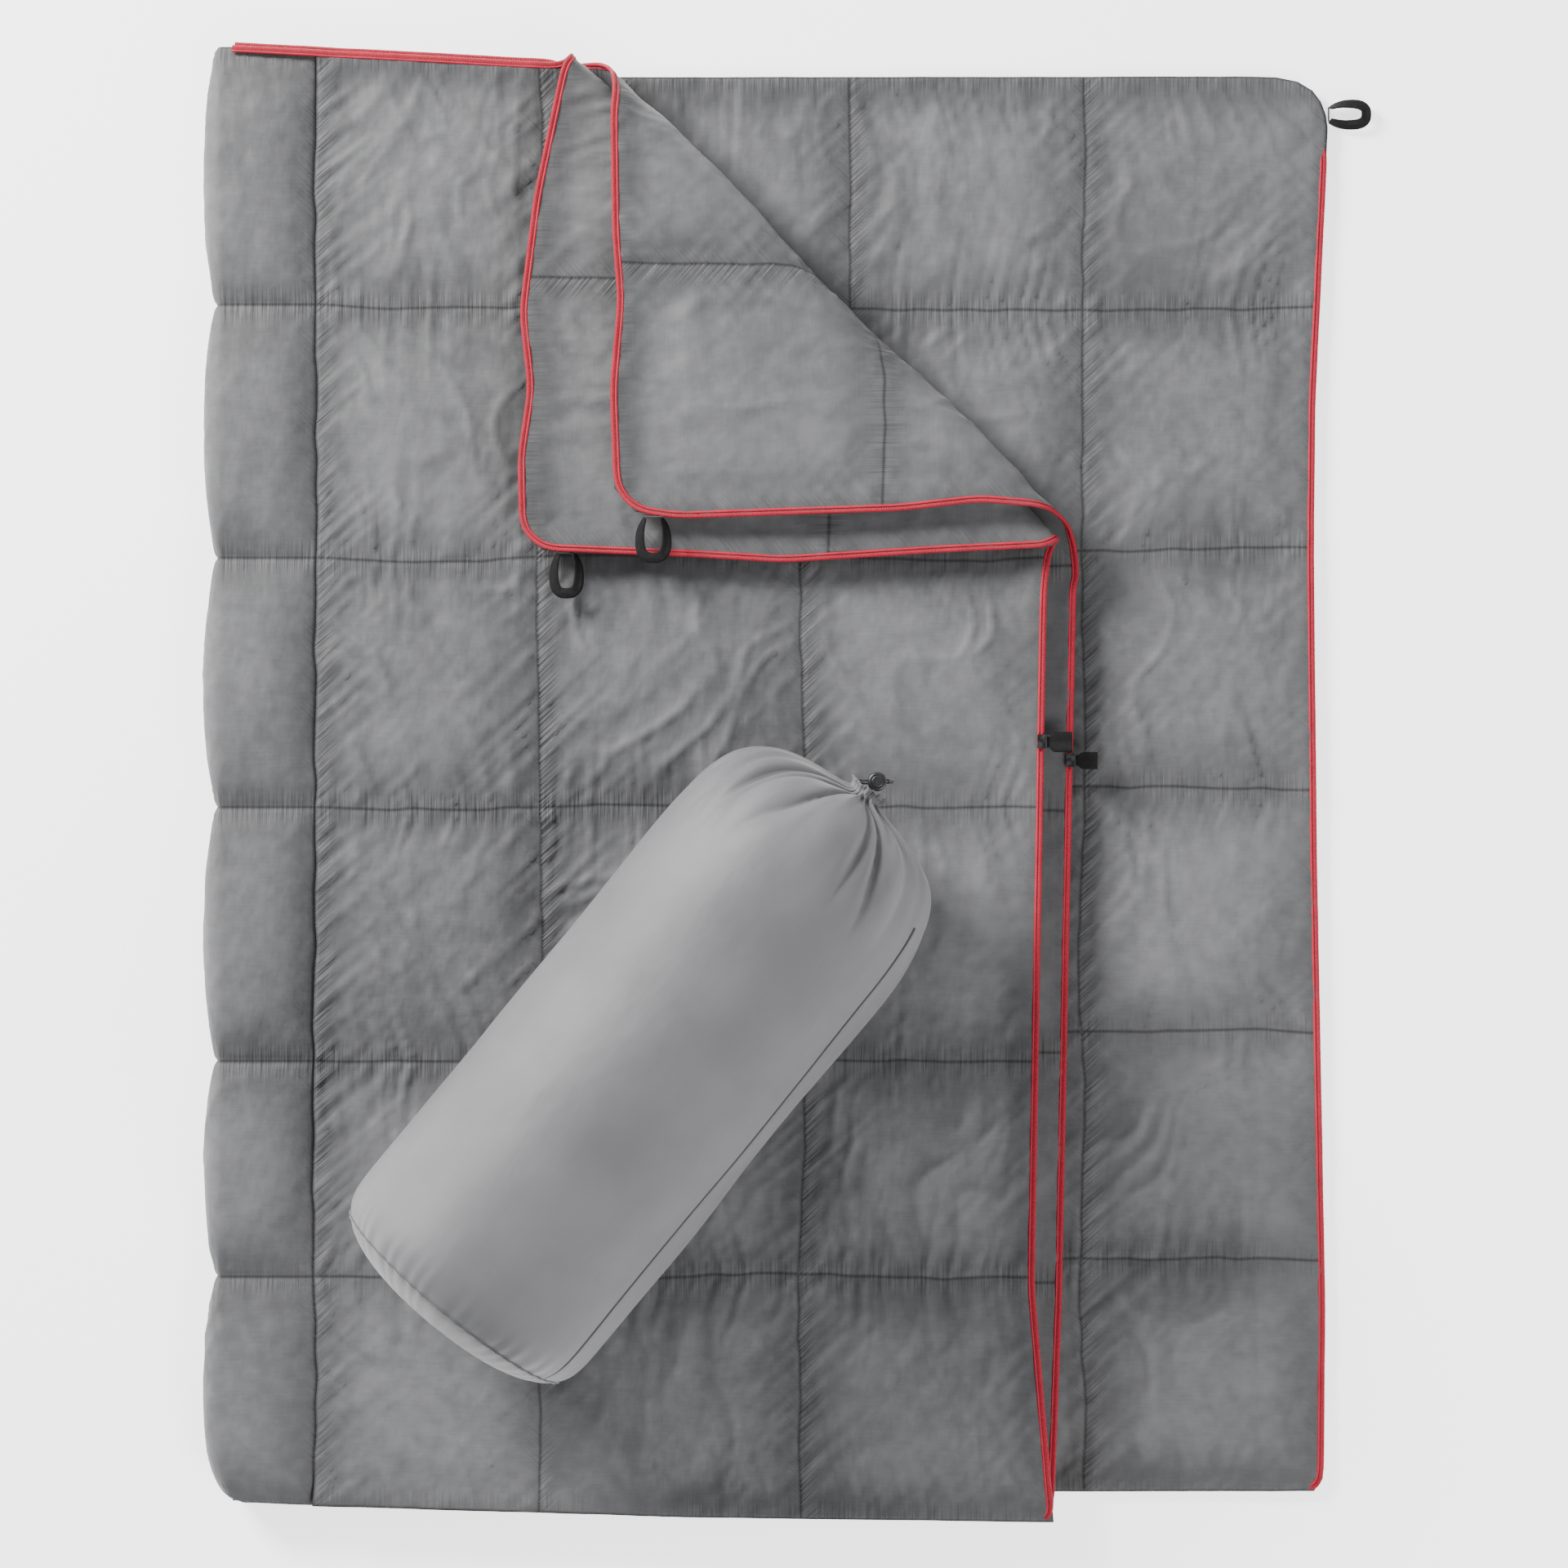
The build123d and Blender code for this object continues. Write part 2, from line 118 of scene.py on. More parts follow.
# ---- quilting ----
STEP = 0.010  # of the simulated cloth
EXCESS = 1.035  # how much wider the cloth is cut than the cells it fills
PRESSURE = 3.0  # inside the cells, while they swell
BENDING = 0.3  # the cloth's stiffness against bending
FRAMES = 20  # of simulation
FINE = 2  # finer points per simulated one
SEAM_FRONT_X = -0.609  # where the fold's fabric meets the front
BASE_SEAMS_X = [-0.529, -0.222, 0.085, 0.392]
BASE_SEAMS_Y = [-0.624, -0.326, -0.008, 0.310, 0.625]
FRONT_SEAMS_X = [-0.318, 0.022]
FRONT_SEAMS_Y = [-0.640, -0.360, -0.030, 0.294, 0.623]
LINER_SEAMS_X = [-0.616, -0.278, 0.060]
LINER_SEAMS_Y = [-0.650, -0.350, -0.035, 0.285, 0.607]


# ---- small tools ----
def noise(x, y, seed):
    """Smooth random values from -1 to 1 at the points given, which change over a distance of about 1."""
    table = np.random.default_rng(seed).uniform(-1, 1, (256, 256))
    column = np.floor(x).astype(int)
    row = np.floor(y).astype(int)
    across = x - column
    up = y - row
    across = across * across * (3 - 2 * across)
    up = up * up * (3 - 2 * up)
    near = table[row % 256, column % 256] * (1 - across) + table[row % 256, (column + 1) % 256] * across
    row = row + 1
    far = table[row % 256, column % 256] * (1 - across) + table[row % 256, (column + 1) % 256] * across
    return near * (1 - up) + far * up


def creases(x, y, seed):
    """Narrow ridges with wide hollows between them, from 0 to 1, from smooth noise."""
    return (1 - np.abs(noise(x, y, seed))) ** 3


def smooth(values, low, high):
    """0 at low, 1 at high, with a smooth turn at both."""
    share = np.clip((values - low) / (high - low), 0, 1)
    return share * share * (3 - 2 * share)


def edge_at(edge, value, axis):
    """The other coordinate of an outline's edge, where its own coordinate along the axis is value."""
    points = np.array(edge, float)
    order = np.argsort(points[:, axis])
    return np.interp(value, points[order, axis], points[order, 1 - axis])


def divide(stops, step):
    """Values from the first stop to the last, about step apart, and the places of the stops among them."""
    values = [stops[0]]
    marks = [0]
    for low, high in zip(stops, stops[1:]):
        count = max(2, round((high - low) / step))
        values += [low + (high - low) * k / count for k in range(1, count + 1)]
        marks.append(len(values) - 1)
    return np.array(values), marks


def refining(marks, factor):
    """The matrix that makes a row of values finer: smooth between marks, free to crease at them."""
    count = marks[-1] * factor + 1
    weights = np.zeros((count, marks[-1] + 1))
    for i in range(count):
        k, part = divmod(i, factor)
        if part == 0:
            weights[i, k] = 1
            continue
        t = part / factor
        low = max(m for m in marks if m <= k)
        high = min(m for m in marks if m > k)
        curve = (-t / 2 + t * t - t ** 3 / 2, 1 - 2.5 * t * t + 1.5 * t ** 3,
                 t / 2 + 2 * t * t - 1.5 * t ** 3, (t ** 3 - t * t) / 2)
        for j, weight in zip(range(k - 1, k + 3), curve):
            if j < low:
                weights[i, low] += 2 * weight
                weights[i, low + 1] -= weight
            elif j > high:
                weights[i, high] += 2 * weight
                weights[i, high - 1] -= weight
            else:
                weights[i, j] += weight
    return weights


def mesh_object(name, points, faces, material, soft=True):
    """A mesh object, smooth shaded."""
    mesh = bpy.data.meshes.new(name)
    mesh.from_pydata(np.asarray(points).reshape(-1, 3).tolist(), [], faces)
    mesh.update()
    if soft:
        mesh.shade_smooth()
    mesh.materials.append(material)
    made = bpy.data.objects.new(name, mesh)
    bpy.context.scene.collection.objects.link(made)
    return made


def store(piece, name, values):
    """Keeps one number per point on a piece, for its material."""
    attribute = piece.data.attributes.new(name, "FLOAT", "POINT")
    attribute.data.foreach_set("value", np.asarray(values, np.float32).ravel())


def numbers(collection, name, width=1):
    """A property of every item of a Blender collection, as an array."""
    values = np.zeros(len(collection) * width, np.float32)
    collection.foreach_get(name, values)
    return values.reshape(-1, width) if width > 1 else values


def parted(whole, roll):
    """Cuts a piece that goes round the diagonal bend in three: its main part, the roll and the turned
    corner. The shading runs on across the cuts."""
    mesh = whole.data
    points = numbers(mesh.vertices, "co", 3)
    normals = numbers(mesh.vertex_normals, "vector", 3)
    kept = {a.name: numbers(a.data, "value") for a in mesh.attributes
            if a.data_type == "FLOAT" and a.domain == "POINT"}
    faces = [list(face.vertices) for face in mesh.polygons]
    where = [kept["outside"][face].mean() for face in faces]
    pieces = []
    for part, low, high in (("main", -9, 0), ("roll", 0, math.pi * roll), ("corner", math.pi * roll, 9)):
        chosen = [face for face, at in zip(faces, where) if low <= at < high]
        used = np.unique(np.concatenate(chosen))
        place = np.zeros(len(points), int)
        place[used] = np.arange(len(used))
        piece = mesh_object(f"{whole.name}_{part}", points[used], [place[f].tolist() for f in chosen],
                            mesh.materials[0])
        for name, values in kept.items():
            store(piece, name, values[used])
        piece.data.normals_split_custom_set_from_vertices(normals[used])
        pieces.append(piece)
    bpy.data.objects.remove(whole)
    return pieces


# ---- cloth simulation ----
def simulate(rest, start, pinned):
    """Lets a grid of cloth swell from start while the pinned points hold it, and returns its points."""
    rows, columns = pinned.shape
    index = np.arange(rows * columns).reshape(rows, columns)
    faces = np.stack([index[:-1, :-1], index[:-1, 1:], index[1:, 1:], index[1:, :-1]], -1)
    mesh = bpy.data.meshes.new("cloth")
    mesh.from_pydata(start.reshape(-1, 3).tolist(), [], faces.reshape(-1, 4).tolist())
    cloth = bpy.data.objects.new("cloth", mesh)
    scene = bpy.context.scene
    scene.collection.objects.link(cloth)
    cloth.shape_key_add(name="Basis")
    flat = cloth.shape_key_add(name="flat")
    flat.data.foreach_set("co", rest.astype(np.float32).ravel())
    group = cloth.vertex_groups.new(name="pinned")
    group.add(np.nonzero(pinned.ravel())[0].tolist(), 1.0, "REPLACE")
    modifier = cloth.modifiers.new("cloth", "CLOTH")
    settings = modifier.settings
    settings.vertex_group_mass = "pinned"
    settings.rest_shape_key = flat
    settings.quality = 4
    settings.mass = 0.15
    settings.tension_stiffness = 15
    settings.compression_stiffness = 15
    settings.shear_stiffness = 5
    settings.bending_stiffness = BENDING
    settings.air_damping = 2
    settings.use_pressure = True
    settings.uniform_pressure_force = PRESSURE
    settings.effector_weights.gravity = 0
    modifier.collision_settings.use_collision = False
    modifier.point_cache.frame_end = FRAMES
    for number in range(1, FRAMES + 1):
        scene.frame_set(number)
    done = cloth.evaluated_get(bpy.context.evaluated_depsgraph_get()).data
    points = np.zeros(rows * columns * 3, np.float32)
    done.vertices.foreach_get("co", points)
    bpy.data.objects.remove(cloth)
    scene.frame_set(1)
    return points.astype(float).reshape(rows, columns, 3)


def swell(values, marks, power):
    """0 at the marks and 1 midway between them."""
    shape = np.zeros(len(values))
    for low, high in zip(marks, marks[1:]):
        share = (np.arange(low, high + 1) - low) / (high - low)
        shape[low:high + 1] = np.sin(math.pi * share) ** power
    return shape


def gap_to(values, marks):
    """For each value of a row, how far it is from the nearest marked one."""
    return np.min(np.abs(values[:, None] - values[marks][None, :]), axis=1)


def puffs(x_stops, y_stops, seed):
    """Quilted cells, swollen by a cloth simulation. Returns the finer grid's nominal x and y, the relief
    (0 on a seam, about 1 on a crown) and how far each point is from the nearest seam each way."""
    xs, x_marks = divide(x_stops, STEP)
    ys, y_marks = divide(y_stops, STEP)
    x, y = np.meshgrid(xs, ys)
    pinned = np.zeros(x.shape, bool)
    pinned[:, x_marks] = True
    pinned[y_marks, :] = True
    body = np.outer(swell(ys, y_marks, 0.5), swell(xs, x_marks, 0.5))
    folds = creases((x + 0.6 * y) / 0.045, (y - 0.6 * x) / 0.17, seed) - 0.35
    folds += 0.8 * creases((x - 0.8 * y) / 0.06, (y + 0.8 * x) / 0.20, seed + 1) - 0.3
    height = 0.013 * body * (1 + 0.35 * folds)
    height += 0.0025 * body * noise(x / 0.025, y / 0.025, seed + 2)
    start = np.stack([x, y, height], -1)
    rest = np.stack([x * EXCESS, y * EXCESS, 0 * x], -1)
    done = simulate(rest, start, pinned)
    relief = 0.74 * (np.maximum(done[..., 2], 0) / np.percentile(done[..., 2], 97)) ** 1.5
    calm = 0.6 * np.outer(swell(ys, y_marks, 1.0), swell(xs, x_marks, 1.0))
    relief = relief * (1 - calm) + 0.72 * np.sqrt(body) * calm
    fine_x = refining(x_marks, FINE)
    fine_y = refining(y_marks, FINE)
    relief = fine_y @ relief @ fine_x.T
    x_marks = [m * FINE for m in x_marks]
    y_marks = [m * FINE for m in y_marks]
    xs = np.interp(np.arange(x_marks[-1] + 1) / FINE, np.arange(len(xs)), xs)
    ys = np.interp(np.arange(y_marks[-1] + 1) / FINE, np.arange(len(ys)), ys)
    aside = np.broadcast_to(gap_to(xs, x_marks)[None, :], relief.shape)
    below = np.broadcast_to(gap_to(ys, y_marks)[:, None], relief.shape)
    relief = relief + gathers(xs, ys, aside, below, seed) + long_folds(xs, ys, x_marks, y_marks, seed)
    return xs, ys, relief, aside, below


def gathers(xs, ys, aside, below, seed):
    """The small puckers that the quilting thread draws up: straight ones along the seams that run across,
    slanting ones along the seams that run lengthways. They fade out into the cells."""
    x, y = np.meshgrid(xs, ys)
    rise = 1 - np.exp(-np.minimum(aside, below) / 0.006)
    lean = 0.5 * noise(x / 0.15, y / 0.3, seed + 3)
    length = 0.044 + 0.034 * noise(x / 0.035, y / 0.4, seed + 4)
    straight = creases((x + lean * below) / 0.011, y / 0.3, seed + 5) * np.exp(-below / length)
    length = 0.046 + 0.034 * noise(x / 0.4, y / 0.04, seed + 6)
    slanting = creases((y - 0.9 * aside) / 0.014, x / 0.3, seed + 7) * np.exp(-aside / length)
    back = creases((y + 0.9 * aside) / 0.019, x / 0.3, seed + 8) * np.exp(-aside / length)
    return rise * (0.34 * straight + 0.30 * slanting + 0.22 * back - 0.15)


def cells(marks, count):
    """Which cell each of count values lies in, where the cells are the gaps between marks."""
    return np.clip(np.searchsorted(marks, np.arange(count), side="right") - 1, 0, len(marks) - 2)


def long_folds(xs, ys, x_marks, y_marks, seed):
    """The long soft folds of each cell, which run in a direction of the cell's own."""
    x, y = np.meshgrid(xs, ys)
    rng = np.random.default_rng(seed + 20)
    column = cells(x_marks, len(xs))
    row = cells(y_marks, len(ys))
    turns = rng.uniform(-0.65, 0.65, (len(y_marks), len(x_marks)))[row[:, None], column[None, :]]
    turns = turns + 0.45 * noise(x / 0.11, y / 0.11, seed + 21)
    low_x = xs[np.array(x_marks)[column]][None, :]
    low_y = ys[np.array(y_marks)[row]][:, None]
    side = (x - low_x) * np.cos(turns) + (y - low_y) * np.sin(turns)
    length = (y - low_y) * np.cos(turns) - (x - low_x) * np.sin(turns)
    shift = 37.0 * column[None, :] + 11.0 * row[:, None]
    broad = creases(side / 0.052 + shift, length / 0.16 + shift, seed + 22)
    narrow = creases(side / 0.024 + shift, length / 0.10 + shift, seed + 23)
    patchy = smooth(noise(x / 0.09, y / 0.09, seed + 24), -0.5, 0.6)
    rise = np.minimum(gap_to(xs, x_marks)[None, :], gap_to(ys, y_marks)[:, None])
    return smooth(rise, 0.004, 0.05) * (0.22 * broad + 0.13 * patchy * narrow - 0.11)


def crown(relief):
    """The relief with its top rounded off, so that no crown is higher than 1."""
    knee = 0.8
    over = knee + (1 - knee) * np.tanh((relief - knee) / (1 - knee))
    return np.clip(np.where(relief > knee, over, relief), 0, 1)


# ---- quilts ----
def unfold(points, roll):
    """Points of a turned corner, moved from where they lie to where they are when it is opened out."""
    moved = []
    for x, y in points:
        offset = np.array([x, y]) - BEND_MIDDLE[:2]
        outside = offset @ BEND_OUT
        moved.append(tuple(np.array([x, y]) + BEND_OUT * (math.pi * roll - 2 * outside)))
    return moved


def fold(x, y, height, middle, roll):
    """Where a point of a quilt lies once the corner is turned back. The quilt's flat place is x, y, and
    height is counted from its middle."""
    offset = np.stack([x, y], -1) - BEND_MIDDLE[:2]
    outside = offset @ BEND_OUT
    along = offset @ BEND_ALONG
    angle = np.clip(outside / roll, 0, math.pi)
    reach = np.where(outside < 0, outside, (roll - height) * np.sin(angle))
    reach = np.where(outside > math.pi * roll, math.pi * roll - outside, reach)
    z = np.where(outside < 0, middle + height, BEND_Z - (roll - height) * np.cos(angle))
    flat = BEND_MIDDLE[:2] + along[..., None] * BEND_ALONG + reach[..., None] * BEND_OUT
    return np.concatenate([flat, z[..., None]], -1)


def lay_flat(x, y, height, middle):
    """Where a point of a quilt with no turned corner lies."""
    return np.stack([x, y, middle + height], -1)


def fit_outline(xs, ys, x_marks_inner, y_marks_inner, side, head, foot):
    """Spreads the nominal grid so that its last column lies on the side edge, and its first and last rows
    on the foot and head edges. The seams stay where they are."""
    x, y = np.meshgrid(xs, ys)
    nominal_x = x.copy()
    nominal_y = y.copy()
    last_x = x_marks_inner[-1]
    first_y = y_marks_inner[0]
    last_y = y_marks_inner[-1]
    for _ in range(3):
        edge = edge_at(side, y, 1)
        share = np.clip((nominal_x - last_x) / (xs[-1] - last_x), 0, 1)
        x = np.where(nominal_x > last_x, last_x + share * (edge - last_x), nominal_x)
        top = edge_at(head, x, 0)
        share = np.clip((nominal_y - last_y) / (ys[-1] - last_y), 0, 1)
        y = np.where(nominal_y > last_y, last_y + share * (top - last_y), nominal_y)
        low = edge_at(foot, x, 0)
        share = np.clip((nominal_y - first_y) / (ys[0] - first_y), 0, 1)
        y = np.where(nominal_y < first_y, first_y + share * (low - first_y), y)
    return x, y


def drift(x, y, keep):
    """A slow wander of the seams, which is 0 where keep is 0."""
    wide_x = 0.006 * noise(x / 0.4, y / 0.22, 41) + 0.0016 * noise(x / 0.2, y / 0.03, 43)
    wide_y = 0.006 * noise(x / 0.22, y / 0.4, 42) + 0.0016 * noise(x / 0.03, y / 0.2, 44)
    return x + keep * wide_x, y + keep * wide_y


def seam_wander(y):
    """How far the seam between the fold's fabric and the front strays from a straight line."""
    return 0.0030 * noise(y / 0.19, 0 * y, 45) + 0.0018 * noise(y / 0.035, 0 * y, 46)


def edge_wave(x, y):
    """How far an edge of a quilt rises and falls along its length."""
    return 0.0016 * noise(x / 0.045, y / 0.045, 50) + 0.0007 * noise(x / 0.013, y / 0.013, 51)


def closed_sheet(name, top, bottom, skip_top, skip_bottom, material):
    """A closed quilt from its top and bottom grids of points. Where a side is skipped, it keeps every other
    point only, and the border joins the two."""
    rows, columns = top.shape[:2]
    upper = np.arange(rows * columns).reshape(rows, columns)
    lower = upper + rows * columns
    faces = []
    for index, skip, flip in ((upper, skip_top, False), (lower, skip_bottom, True)):
        kept = index[::skip, ::skip]
        quads = np.stack([kept[:-1, :-1], kept[:-1, 1:], kept[1:, 1:], kept[1:, :-1]], -1).reshape(-1, 4)
        faces += (quads[:, ::-1] if flip else quads).tolist()
    ring = [(0, j) for j in range(columns)] + [(i, columns - 1) for i in range(1, rows)]
    ring += [(rows - 1, j) for j in range(columns - 2, -1, -1)]
    ring += [(i, 0) for i in range(rows - 2, 0, -1)]
    wide = max(skip_top, skip_bottom)
    for k in range(0, len(ring), wide):
        piece = [ring[(k + m) % len(ring)] for m in range(wide + 1)]
        above = [int(upper[p]) for p in piece[::skip_top]]
        below = [int(lower[p]) for p in piece[::skip_bottom]]
        faces.append(below + above[::-1])
    points = np.concatenate([top.reshape(-1, 3), bottom.reshape(-1, 3)])
    used = np.zeros(len(points), bool)
    for face in faces:
        used[face] = True
    place = np.cumsum(used) - 1
    faces = [[int(place[i]) for i in face] for face in faces]
    return mesh_object(name, points[used], faces, material), used


def stitched(piece, used, x, y, aside, below):
    """Keeps the flat place of each point of both sides, and its distances from the seams."""
    for name, values in (("flat_x", x), ("flat_y", y), ("aside", aside), ("below", below)):
        store(piece, name, np.tile(np.asarray(values).ravel(), 2)[used])


def declare(piece, slot, *nodes, fill=None):
    """Hides the CAD nodes that a piece stands for. The piece, its material's slot and how full it is padded
    are not used.
    """
    if nodes:
        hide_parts(*nodes)


def quilt(name, x_stops, y_stops, side, head, foot, seam_level, seed, place, sides, material, half=HALF,
          head_zip=True, bare=0.0046):
    """One quilt. seam_level(outside) gives the height of the seams, which shares the puff between the two
    sides, and place puts a flat point where it lies. sides says which points of the top and the bottom
    are kept: 1 for all, 2 for every other. The puff keeps clear of the zip on the side edge, and on the
    head edge where head_zip is true: bare is the width left uncovered. half is the height of a crown."""
    xs, ys, relief, aside, below = puffs(x_stops, y_stops, seed)
    x, y = fit_outline(xs, ys, x_stops[1:-1], y_stops[1:-1], side, head, foot)
    right = (xs[-1] - xs)[None, :]
    rim = np.minimum(right, edge_gap(ys)[:, None])
    left = np.broadcast_to((xs - xs[0])[None, :], rim.shape)
    x, y = drift(x, y, smooth(np.minimum(rim, left), 0, 0.10))
    x = x + seam_wander(y) * (1 - smooth(left, 0, 0.06))
    outside = (np.stack([x, y], -1) - BEND_MIDDLE[:2]) @ BEND_OUT
    level = seam_level(outside) * smooth(rim, 0.004, 0.05)
    level = level + edge_wave(x, y) * (1 - smooth(rim, 0.01, 0.04))
    zipped = np.minimum(right, (ys[-1] - ys)[:, None]) if head_zip else right
    clear = smooth(zipped, bare, bare + 0.0138)
    puff = crown(relief) * clear
    under = crown(0.85 * relief + 0.1 * swell_grid(aside, below)) * clear
    top = level + BORDER + (half - BORDER - level) * puff
    bottom = level - BORDER - (HALF - BORDER + level) * under
    made, used = closed_sheet(name, place(x, y, top), place(x, y, bottom), *sides, material)
    stitched(made, used, x, y, aside, below)
    store(made, "outside", np.tile(outside.ravel(), 2)[used])
    return made


def edge_gap(values):
    """How far each value of a row is from the nearer end of the row."""
    return np.minimum(values - values[0], values[-1] - values)


def swell_grid(aside, below):
    """A plain puff that rises from every seam."""
    return smooth(np.minimum(aside, below), 0, 0.08)


# ---- materials ----
class Shader:
    """Builds a procedural material, node by node."""

    def __init__(self, name, colour, roughness, **sockets):
        self.material = bpy.data.materials.new(name)
        self.material.use_nodes = True
        self.tree = self.material.node_tree
        self.main = self.tree.nodes["Principled BSDF"]
        self.main.inputs["Base Color"].default_value = (*colour, 1)
        self.main.inputs["Roughness"].default_value = roughness
        for key, value in sockets.items():
            self.main.inputs[key.replace("_", " ")].default_value = value
        self.bumps = None

    def node(self, kind, **settings):
        made = self.tree.nodes.new(kind)
        for key, value in settings.items():
            setattr(made, key, value)
        return made

    def put(self, socket, value):
        if isinstance(value, (int, float)):
            socket.default_value = value
        else:
            self.tree.links.new(value, socket)

    def attribute(self, name):
        return self.node("ShaderNodeAttribute", attribute_name=name).outputs["Fac"]

    def calc(self, operation, first, second=0.0, third=0.0):
        made = self.node("ShaderNodeMath", operation=operation)
        for socket, value in zip(made.inputs, (first, second, third)):
            self.put(socket, value)
        return made.outputs[0]

    def by(self, first, second):
        return self.calc("MULTIPLY", first, second)

    def between(self, value, low, high, out_low=0.0, out_high=1.0):
        made = self.node("ShaderNodeMapRange", interpolation_type="SMOOTHSTEP")
        self.put(made.inputs["Value"], value)
        keys = ("From Min", "From Max", "To Min", "To Max")
        for key, number in zip(keys, (low, high, out_low, out_high)):
            made.inputs[key].default_value = number
        return made.outputs["Result"]

    def vector(self, x, y, z=0.0):
        made = self.node("ShaderNodeCombineXYZ")
        for socket, value in zip(made.inputs, (x, y, z)):
            self.put(socket, value)
        return made.outputs[0]

    def place(self):
        """The point on the piece, in metres."""
        return self.node("ShaderNodeTexCoord").outputs["Object"]

    def noise(self, vector, scale, detail):
        made = self.node("ShaderNodeTexNoise")
        self.tree.links.new(vector, made.inputs["Vector"])
        made.inputs["Scale"].default_value = scale
        made.inputs["Detail"].default_value = detail
        return made.outputs["Fac"]

    def tint(self, share, low, high):
        """Colours the piece between two greys or colours, by a share from 0 to 1."""
        made = self.node("ShaderNodeMix", data_type="RGBA")
        self.put(made.inputs["Factor"], share)
        made.inputs["A"].default_value = (*low, 1)
        made.inputs["B"].default_value = (*high, 1)
        return made.outputs["Result"]

    def times(self, colour, share):
        """A colour made darker by a share from 0 to 1."""
        made = self.node("ShaderNodeVectorMath", operation="SCALE")
        self.tree.links.new(colour, made.inputs[0])
        self.put(made.inputs["Scale"], share)
        return made.outputs[0]

    def colour(self, value):
        self.tree.links.new(value, self.main.inputs["Base Color"])

    def bump(self, height, distance, strength=1.0):
        made = self.node("ShaderNodeBump")
        made.inputs["Strength"].default_value = strength
        made.inputs["Distance"].default_value = distance
        self.put(made.inputs["Height"], height)
        if self.bumps is not None:
            self.tree.links.new(self.bumps, made.inputs["Normal"])
        self.bumps = made.outputs["Normal"]
        self.tree.links.new(self.bumps, self.main.inputs["Normal"])

    def weave(self, x, y, pitch):
        """A plain weave: threads that go over and under each other, from 0 to 1."""
        across = self.calc("SINE", self.by(x, 2 * math.pi / pitch))
        along = self.calc("SINE", self.by(y, 2 * math.pi / pitch))
        return self.calc("MULTIPLY_ADD", self.by(across, along), 0.5, 0.5)


def taffeta(name, low, high, roughness):
    """Thin quilted nylon: a fine weave, slow and streaky changes of tone, puckers close to the seams, the
    dark line of the quilting thread in them, and painted shade that darkens the cloth towards every seam."""
    s = Shader(name, high, roughness, Specular_IOR_Level=0.30, Sheen_Weight=0.12, Sheen_Roughness=0.5)
    x = s.attribute("flat_x")
    y = s.attribute("flat_y")
    aside = s.attribute("aside")
    below = s.attribute("below")
    flat = s.vector(x, y)
    tone = s.calc("MULTIPLY_ADD", s.noise(flat, 5.0, 3.0), 0.6, s.by(s.noise(flat, 45.0, 4.0), 0.4))
    streaks = s.noise(s.vector(s.by(x, 30.0), s.by(y, 400.0)), 1.0, 2.0)
    colour = s.tint(s.between(s.calc("MULTIPLY_ADD", streaks, 0.15, tone), 0.38, 0.75), low, high)
    near = s.calc("MINIMUM", aside, below)
    dash_y = s.calc("FRACT", s.by(y, 1 / STITCH))
    dash_x = s.calc("FRACT", s.by(x, 1 / STITCH))
    thread_y = s.by(s.between(aside, 0.0006, 0.0011, 1, 0), s.between(dash_y, 0.25, 0.35))
    thread_x = s.by(s.between(below, 0.0006, 0.0011, 1, 0), s.between(dash_x, 0.25, 0.35))
    thread = s.calc("MAXIMUM", thread_x, thread_y)
    # Painted shade: the colour is darkened sharply within 4 mm of each seam and gently over 90 mm from it,
    # so each cell looks lit at its middle and shaded towards its seams.
    painted_seam_shade = s.by(s.between(near, 0.0, 0.0040, 0.45, 1.0), s.between(near, 0.0, 0.090, 0.62, 1.0))
    s.colour(s.times(s.times(colour, painted_seam_shade), s.calc("MULTIPLY_ADD", thread, -0.35, 1.0)))
    slant = s.calc("MULTIPLY_ADD", aside, -0.9, y)
    fine_y = s.noise(s.vector(s.by(slant, 190.0), s.by(x, 9.0)), 1.0, 2.0)
    fine_x = s.noise(s.vector(s.by(x, 210.0), s.by(y, 9.0)), 1.0, 2.0)
    fine = s.calc("ADD", s.by(fine_y, s.between(aside, 0.001, 0.035, 1, 0)),
                  s.by(fine_x, s.between(below, 0.001, 0.035, 1, 0)))
    s.bump(fine, 0.0030, 0.8)
    soft = s.noise(s.vector(s.by(x, 26.0), s.by(y, 15.0), 0.3), 1.0, 3.0)
    s.bump(soft, 0.0060, 0.5)
    s.bump(s.weave(x, y, 0.0011), 0.00012, 0.6)
    return s.material


def satin(name, low, high):
    """The stuff sack's smooth fabric."""
    s = Shader(name, high, 0.52, Specular_IOR_Level=0.4, Sheen_Weight=0.2, Sheen_Roughness=0.4)
    x = s.attribute("flat_x")
    y = s.attribute("flat_y")
    flat = s.vector(x, y)
    tone = s.noise(flat, 6.0, 3.0)
    grain = s.noise(s.vector(s.by(x, 60.0), s.by(y, 700.0)), 1.0, 2.0)
    s.colour(s.tint(s.between(s.calc("MULTIPLY_ADD", grain, 0.2, tone), 0.4, 0.8), low, high))
    s.bump(s.noise(s.vector(s.by(x, 8.0), s.by(y, 16.0)), 1.0, 3.0), 0.006, 0.35)
    s.bump(s.weave(x, y, 0.0010), 0.00012, 0.6)
    return s.material


